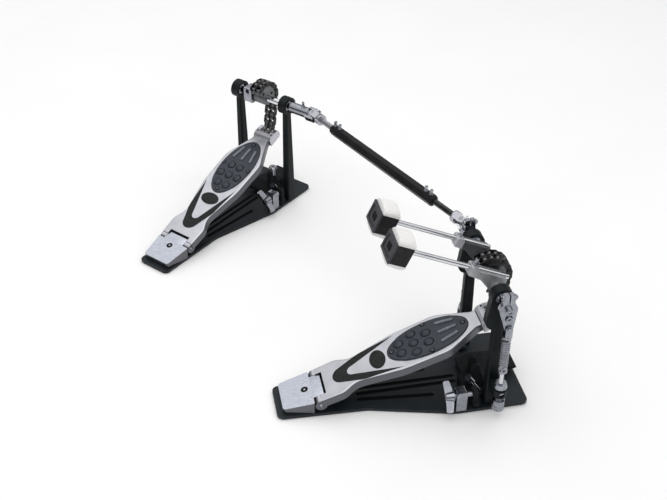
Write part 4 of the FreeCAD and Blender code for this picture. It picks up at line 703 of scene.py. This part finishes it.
def edge_drop(away, radius):
    """How far a rounded edge falls at a distance from it."""
    if away >= radius:
        return 0.0
    return radius * (1 - math.sqrt(1 - (1 - away / radius) ** 2))


def felt_ripple(x, s):
    """Slight unevenness of the felt."""
    height = 0.12
    slant_x = 0.9
    slant_s = 2.1
    wave_s = 1.1
    return height * math.sin(x * slant_x + s * slant_s) * math.sin(s * wave_s)


def felt_height(x, s):
    """Height of a felt above its face: a full loaf, lower at the cap and round towards the rod."""
    fullness = 2.6
    rim_r = 1.2
    across = max(0.0, 1 - abs(x / FELT_HALF) ** fullness) ** (1 / fullness)
    share = (s - FELT_LOW) / (FELT_HIGH - FELT_LOW)
    along = FELT_CROWN + (FELT_CAP_CROWN - FELT_CROWN) * share
    along -= edge_drop(s - FELT_LOW, FELT_END_R) + edge_drop(FELT_HIGH - s, rim_r)
    return FELT_EDGE + (along + felt_ripple(x, s) - FELT_EDGE) * across


def felt_mesh(outward):
    """Thick felt on one striking face of an upright beater head."""
    steps = 40
    build = bmesh.new()
    grid = []
    for i in range(steps + 1):
        x = FELT_HALF * math.sin(math.pi * (i / steps - 0.5))
        row = []
        for j in range(steps + 1):
            s = FELT_LOW + (FELT_HIGH - FELT_LOW) * (1 - math.cos(math.pi * j / steps)) / 2
            rise = FELT_FACE + felt_height(x, s)
            row.append(build.verts.new((x, ROD_OFFSET + outward * rise, s)))
        grid.append(row)
    for i in range(steps):
        for j in range(steps):
            build.faces.new((grid[i][j], grid[i + 1][j], grid[i + 1][j + 1], grid[i][j + 1]))
    rim = [grid[i][0] for i in range(steps)] + [grid[steps][j] for j in range(steps)]
    rim += [grid[steps - i][steps] for i in range(steps)] + [grid[0][steps - j] for j in range(steps)]
    back = [build.verts.new((v.co.x, ROD_OFFSET + outward * FELT_FACE, v.co.z)) for v in rim]
    for i in range(len(rim)):
        j = (i + 1) % len(rim)
        build.faces.new((rim[i], rim[j], back[j], back[i]))
    build.faces.new(back)
    return to_mesh("felt", build)


def beater_felts(side):
    """Both felts of one beater."""
    matrix = beater_matrix(side, BEATER_LIFT[side])
    body = side + "_beater"
    for name, outward in (("front", 1), ("rear", -1)):
        felt = piece(side + "_felt_" + name, felt_mesh(outward), matrix, body, "felt_white", crisp=60)
        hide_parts(side + "_beater_felts")


# Return springs


def wire_mesh(points):
    """Round wire along a line of points."""
    curve = bpy.data.curves.new("wire", "CURVE")
    curve.dimensions = "3D"
    curve.bevel_depth = WIRE_R
    curve.bevel_resolution = 4
    curve.use_fill_caps = True
    line = curve.splines.new("POLY")
    line.points.add(len(points) - 1)
    for knot, point in zip(line.points, points):
        knot.co = (*point, 1)
    holder = bpy.data.objects.new("wire", curve)
    bpy.context.scene.collection.objects.link(holder)
    mesh = bpy.data.meshes.new_from_object(holder)
    bpy.data.objects.remove(holder)
    mesh.materials.clear()
    return mesh


def coil_spring(side):
    """Coil with straight end legs that stretches between the spring rod and the hook."""
    low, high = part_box(side + "_spring")
    foot = low[2] / MM
    head = high[2] / MM
    straight = 2 * WIRE_R
    steps = 28
    points = [(COIL_R, -LEG_RISE, foot), (COIL_R, -LEG_RISE, foot + straight)]
    for i in range(SPRING_TURNS * steps + 1):
        turn = 2 * math.pi * i / steps
        height = foot + straight + LEG_RISE + COIL_PITCH * i / steps
        points.append((COIL_R * math.cos(turn), COIL_R * math.sin(turn), height))
    points += [(COIL_R, LEG_RISE, head - straight), (COIL_R, LEG_RISE, head)]
    x = middle_x(side + "_spring")
    y = AXLE.y + SPRING_FORWARD
    there = Matrix.Translation((x, y, 0))
    coil = piece(side + "_coil", wire_mesh(points), there, None, "chrome", "steel", crisp=None)
    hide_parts(side + "_spring")
    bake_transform(coil)


def spring_thread(side):
    """Thread on the rod between the spring and its cup."""
    pitch = 1.15
    crest_start = pitch * 0.4
    crest_end = pitch * 0.6
    root = 3.02
    crest = 3.5
    segments = 28
    low = CUP_Z + CUP_T
    turns = int((THREAD_TOP - low) / pitch)
    profile = [(0, low)]
    for i in range(turns):
        z = low + i * pitch
        profile += [(root, z), (crest, z + crest_start), (crest, z + crest_end)]
    high = low + turns * pitch
    profile += [(root, high), (0, high)]
    there = Matrix.Translation((middle_x(side + "_spring"), AXLE.y + SPRING_FORWARD, 0))
    turned(side + "_rod_thread", [(profile, segments)], there, side + "_spring_arm", "steel", "chrome")


# Small fasteners: forms of (radius, height) points with a count of segments. Height 0 is the surface.

PAD_RING = [(((0, 0.12), (3.9, 0.12), (4.1, 0), (4.1, -0.8), (0, -0.8)), 36)]
PAD_SCREW = [(((0, 0.5), (0.9, 0.5), (0.9, 1.0), (2.0, 1.0), (2.4, 0.6), (2.4, -0.8), (0, -0.8)), 32)]
# Black disc under the heel screw: painted shade of its hole.
HEEL_HOLE_SHADE = [(((0, 0.25), (5.3, 0.25), (5.6, 0), (5.6, -1), (0, -1)), 40)]
HEEL_SCREW = [(((0, 0.8), (1.4, 0.75), (2.0, 0.5), (2.2, 0.2), (2.2, -0.5), (0, -0.5)), 32)]
KEY_SCREW = [
    (((0, 3.4), (2.0, 3.4), (2.0, 2.0), (3.3, 1.6), (3.6, 1.2), (3.6, -1), (0, -1)), 32),
    (((0, 9.5), (2.4, 9.5), (2.9, 9.0), (2.9, 4.0), (2.4, 3.3), (0, 3.3)), 4),
]
SOCKET_CAP = [
    (((0, 0.8), (2.5, 0.8), (2.5, 2.6), (3.7, 2.6), (4.2, 2.1), (4.2, -0.5), (0, -0.5)), 36),
]
AXLE_CAP = [((
    (0, 0.5), (2.6, 0.5), (2.6, 1.8), (3.6, 1.8), (3.8, 1.2), (4.6, 1.2), (4.8, 1.6), (5.5, 1.6),
    (5.9, 1.2), (5.9, -0.5), (0, -0.5)), 40)]
HEX_NUT = [
    (((0, 2.6), (3.8, 2.6), (4.4, 2.1), (4.4, -0.5), (0, -0.5)), 6),
    (((0, 4.0), (2.0, 4.0), (2.3, 3.6), (2.3, 2.0), (0, 2.0)), 28),
]
# Black disc under the rocker's face screw: painted shade of its hole.
HOLE_SHADE_RING = [(((0, 0.3), (5.2, 0.3), (5.5, 0), (5.5, -1), (0, -1)), 36)]
BLACK_DOT = [(((0, 0.15), (1.7, 0.15), (1.9, 0), (1.9, -1), (0, -1)), 28)]
STUD = [
    (((0, 13), (4, 13), (4, -2), (0, -2)), 32),
    (((0, 15.2), (2.6, 15.2), (2.6, 16.6), (6.8, 16.6), (7.8, 15.6), (7.8, 12.6), (0, 12.6)), 40),
]


def foot_screws(pedal):
    """Screws through the pad, and dark dots in the toe block."""
    matrix = PLACES[pedal] @ FOOT
    body = pedal + "_foot"
    side_x = PAD_HALF_WIDTH - PAD_SCREW_SIDE_INSET
    end_u = PAD_HALF_LENGTH - PAD_SCREW_END_INSET
    for i, (x, u) in enumerate(((0, -end_u), (side_x, 0), (-side_x, 0), (0, end_u)), 1):
        there = matrix @ Matrix.Translation((x, PAD_CENTRE + u, PAD_TOP))
        turned(pedal + "_pad_ring_" + str(i), PAD_RING, there, body, "pad_rubber", "deep_black")
        turned(pedal + "_pad_screw_" + str(i), PAD_SCREW, there, body, "dark_steel")
    dot_x, dot_u, dot_rise = TOE_DOT
    for i, side in enumerate((-1, 1), 1):
        there = matrix @ Matrix.Translation((side * dot_x, dot_u, dot_rise))
        turned(pedal + "_toe_dot_" + str(i), BLACK_DOT, there, body, "pad_rubber", "deep_black")


def beater_screws(side):
    """Key screws of a beater's hub."""
    matrix = beater_matrix(side)
    body = side + "_beater"
    lug_middle = (HUB_LUG_START + HUB_REACH) / 2
    in_lug = matrix @ aim((0, HUB_LUG_TOP, lug_middle), (0, 1, 0))
    turned(side + "_lug_screw", KEY_SCREW, in_lug, body, "steel")
    in_back = matrix @ aim((0, -HUB_KEY_BACK, HUB_KEY_RISE), (0, -1, 0))
    turned(side + "_hub_screw", KEY_SCREW, in_back, body, "dark_steel")


def rocker_bolt(side):
    """Bolt through the split ears of a rocker, and the screw in its outer face on a black disc, painted
    shade for its hole.
    """
    x = middle_x(side + "_rocker")
    z = AXLE.z + EAR_BOLT_RISE
    body = side + "_beater"
    rear = aim((x, AXLE.y - ROCKER_EAR_HALF, z), (0, -1, 0))
    turned(side + "_ear_bolt", SOCKET_CAP, rear, body, "steel")
    front = aim((x, AXLE.y + ROCKER_EAR_HALF, z), (0, 1, 0))
    turned(side + "_ear_nut", HEX_NUT, front, body, "steel")
    outward = 1 if side == "right" else -1
    face = (x + outward * ROCKER_T / 2, AXLE.y + ROCKER_SCREW_FORWARD, AXLE.z - ROCKER_SCREW_DROP)
    there = aim(face, (outward, 0, 0))
    # Black disc of painted shade for the screw's hole.
    turned(side + "_rocker_hole_shade", HOLE_SHADE_RING, there, body, "dark_steel", "deep_black")
    turned(side + "_rocker_screw", SOCKET_CAP, there, body, "steel")


def drive_screws():
    """Key screws of the shaft between the pedals and of its coupling sleeve."""
    top = Vector((0, 0, TUBE_FLATS / 2))
    first = TUBE_START + TUBE_SCREW_INSET
    last = TUBE_END - TUBE_SCREW_INSET
    places = (first, first + TUBE_SCREW_STEP, last - TUBE_SCREW_STEP, last)
    for i, along in enumerate(places, 1):
        there = aim(SECOND_JOINT + SHAFT_AXIS * along + top, (0, 0, 1))
        turned("tube_screw_" + str(i), KEY_SCREW, there, "drive", "steel")
    sleeve_top = AXLE.z + SLEEVE_R - SLEEVE_SCREW_SINK
    on_sleeve = PLACES["slave"] @ aim((SLEEVE_SCREW_X, AXLE.y, sleeve_top), (0, 0, 1))
    turned("sleeve_screw", KEY_SCREW, on_sleeve, "slave_axle_set", "steel")


def axle_caps():
    """Socket ends of the axles and the screw in the left-foot hub block."""
    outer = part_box("right_axle")[1][0] / MM
    turned("right_axle_cap", AXLE_CAP, aim((outer, AXLE.y, AXLE.z), (1, 0, 0)), "right_beater", "steel")
    place = PLACES["slave"]
    end = place @ aim((SECOND_AXLE_END, AXLE.y, AXLE.z), (-1, 0, 0))
    turned("slave_axle_cap", AXLE_CAP, end, "slave_axle_set", "steel")
    x, y, rise = BLOCK_SCREW
    screw = place @ aim((x, y, AXLE.z + rise), (0, -1, 0))
    turned("slave_block_screw", SOCKET_CAP, screw, "slave_axle_set", "dark_steel")


def bracket_stud():
    """Round-headed stud on the left-foot pedal's clamp bracket."""
    there = PLACES["slave"] @ Matrix.Translation(STUD_PLACE)
    turned("slave_bracket_stud", STUD, there, "frame", "steel")


# Thin trim, and black pieces of painted shade in the base's grooves and under the heel screw


def footboard_trim(pedal):
    """Black vee and bare oval plate let into the top of the footboard."""
    matrix = PLACES[pedal] @ FOOT
    body = pedal + "_foot"
    flush = 0.05
    badge_rise = 0.9
    badge_edge_r = 0.6
    vee = plate(rounded(INLAY, steps=12), -INLAY_DEPTH, -flush)
    piece(pedal + "_vee", vee, matrix, body, "pad_rubber", "inlay_black")
    oval = ellipse(BADGE_CENTRE, BADGE_HALF_LENGTH - flush, BADGE_HALF_WIDTH - flush)
    badge = plate(oval, -INLAY_DEPTH, badge_rise, badge_edge_r)
    piece(pedal + "_oval_plate", badge, matrix, body, "pad_rubber", "inlay_black")


def heel_trim(pedal):
    """Flat end of the heel plate's tongue, and a screw on a black disc, painted shade for its hole."""
    proud = 0.1
    edge_r = 0.1
    top = PLACES[pedal] @ Matrix.Translation((0, 0, FOOT_Z)) @ Matrix.Rotation(HEEL_SLOPE, 4, "X")
    there = top @ Matrix.Translation((0, HEEL_SCREW_Y, 0))
    # Black disc of painted shade for the screw's hole.
    turned(pedal + "_heel_hole_shade", HEEL_HOLE_SHADE, there, "frame", "pad_rubber", "deep_black")
    turned(pedal + "_heel_screw", HEEL_SCREW, there, "frame", "steel")
    corners = (
        (TIP_HALF, 0, 0),
        (TIP_HALF, TIP_LENGTH, TIP_CORNER_R),
        (-TIP_HALF, TIP_LENGTH, TIP_CORNER_R),
        (-TIP_HALF, 0, 0),
    )
    tip = plate(rounded(corners), -TIP_T, proud, edge_r)
    piece(pedal + "_tongue_tip", tip, top, "frame", "heel_silver")


def groove_shade_mesh(length):
    """Painted shade: a black strip on the floor of a pressed groove, and a black band along each of its
    edges.
    """
    gap = 0.1
    strip_t = 0.4
    lip = 1.6
    lip_sink = 0.3
    lip_proud = 0.12
    floor = PLATE_TOP - GROOVE_DEPTH
    build = bmesh.new()
    strip = [(x, y + gap) for x, y in slot_outline(GROOVE_WIDTH / 2 - gap, length - 2 * gap)]
    add_plate(build, strip, floor, floor + strip_t)
    for edge in (-1, 1):
        inner = edge * GROOVE_WIDTH / 2
        outer = inner + edge * lip
        band = [(inner, lip), (outer, 2 * lip), (outer, length - 2 * lip), (inner, length - lip)]
        add_plate(build, band, PLATE_TOP - lip_sink, PLATE_TOP + lip_proud)
    return to_mesh("groove", build)


def groove_shade_strips(pedal):
    """Black strips of painted shade in and along the pressed grooves of the base."""
    count = 0
    for x, length, turn in GROOVES:
        for side in (-1, 1):
            count += 1
            start = Matrix.Translation((side * x, GROOVE_START_Y, 0))
            there = start @ Matrix.Rotation(-side * turn, 4, "Z")
            name = pedal + "_groove_" + str(count)
            # Black strips of painted shade in and along the groove.
            piece(name, groove_shade_mesh(length), PLACES[pedal] @ there, "frame", "sole_rubber", "deep_black")


def cap_inlay(side):
    """Bare black field in the recess of a beater's end cap."""
    field_t = 0.3
    floor = HEAD_END + HEAD_CAP_T - CAP_RECESS
    matrix = beater_matrix(side, BEATER_LIFT[side]) @ Matrix.Translation((0, ROD_OFFSET, floor))
    outline = rounded_box(CAP_FIELD_HALF_X, -CAP_FIELD_HALF_Y, CAP_FIELD_HALF_Y, CAP_FIELD_R)
    field = plate(outline, 0, field_t)
    piece(side + "_cap_inlay", field, matrix, side + "_beater", "beater_black", "deep_black")


# Stage


def lay_floor():
    """Wide pale floor."""
    finish = Finish(
        "floor", dark=(0.93, 0.93, 0.93), light=(0.95, 0.95, 0.95), rough=(0.75, 0.85),
        grain=4, relief=(20, 0.02, 0.0005))
    corners = [(x * FLOOR_REACH, y * FLOOR_REACH, 0) for x, y in ((-1, -1), (1, -1), (1, 1), (-1, 1))]
    mesh = bpy.data.meshes.new("floor")
    mesh.from_pydata(corners, [], [(0, 1, 2, 3)])
    mesh.materials.append(finish.material)
    floor = bpy.data.objects.new("floor", mesh)
    bpy.context.scene.collection.objects.link(floor)


def light_sky():
    """Soft overhead light above a dark band, with a pale horizon."""
    world = bpy.data.worlds.new("studio")
    world.use_nodes = True
    tree = world.node_tree
    direction = tree.nodes.new("ShaderNodeTexCoord")
    parts = tree.nodes.new("ShaderNodeSeparateXYZ")
    tree.links.new(direction.outputs["Generated"], parts.inputs["Vector"])
    ramp = tree.nodes.new("ShaderNodeValToRGB")
    elements = ramp.color_ramp.elements
    while len(elements) < len(SKY_STEPS):
        elements.new(1.0)
    for element, (height, grey) in zip(elements, SKY_STEPS):
        element.position = height
        element.color = (grey, grey, grey, 1)
    background = tree.nodes["Background"]
    background.inputs["Strength"].default_value = SKY_STRENGTH
    tree.links.new(parts.outputs["Z"], ramp.inputs["Fac"])
    tree.links.new(ramp.outputs["Color"], background.inputs["Color"])
    bpy.context.scene.world = world


def hang_lamp(name, place, size, power):
    """Large soft light that faces the pedals."""
    light = bpy.data.lights.new(name, "AREA")
    light.size = size
    light.energy = power
    lamp = bpy.data.objects.new(name, light)
    lamp.location = place
    lamp.rotation_euler = (LAMP_TARGET - Vector(place)).to_track_quat("-Z", "Y").to_euler()
    bpy.context.scene.collection.objects.link(lamp)


def set_camera():
    """Camera at the photograph's viewing angle."""
    camera = bpy.data.cameras.new("camera")
    camera.sensor_width = SENSOR
    camera.lens = LENS
    eye = bpy.data.objects.new("camera", camera)
    eye.location = EYE
    level = math.cos(LOOK_DOWN)
    look = Vector((LOOK_X * level, LOOK_Y * level, -math.sin(LOOK_DOWN)))
    eye.rotation_euler = look.to_track_quat("-Z", "Y").to_euler()
    bpy.context.scene.collection.objects.link(eye)
    bpy.context.scene.camera = eye


def studio():
    """Floor, sky, camera and lamps: one overhead, one that the silver mirrors, one beside the camera."""
    lay_floor()
    light_sky()
    hang_lamp("over", (-0.1, -0.1, 2.6), size=3.2, power=30)
    hang_lamp("mirror", (-1.9, -0.5, 1.6), size=1.7, power=3)
    hang_lamp("beside", (1.6, 1.0, 1.1), size=0.8, power=2)
    set_camera()
    bpy.context.scene.view_settings.view_transform = "Standard"


dress_solids()
for pedal_name in PLACES:
    footboard_pad(pedal_name)
    footboard_trim(pedal_name)
    foot_screws(pedal_name)
    heel_trim(pedal_name)
    groove_shade_strips(pedal_name)
for beater_side in BEATER_X:
    beater_felts(beater_side)
    cap_inlay(beater_side)
    beater_screws(beater_side)
    rocker_bolt(beater_side)
    coil_spring(beater_side)
    spring_thread(beater_side)
drive_screws()
axle_caps()
bracket_stud()
studio()
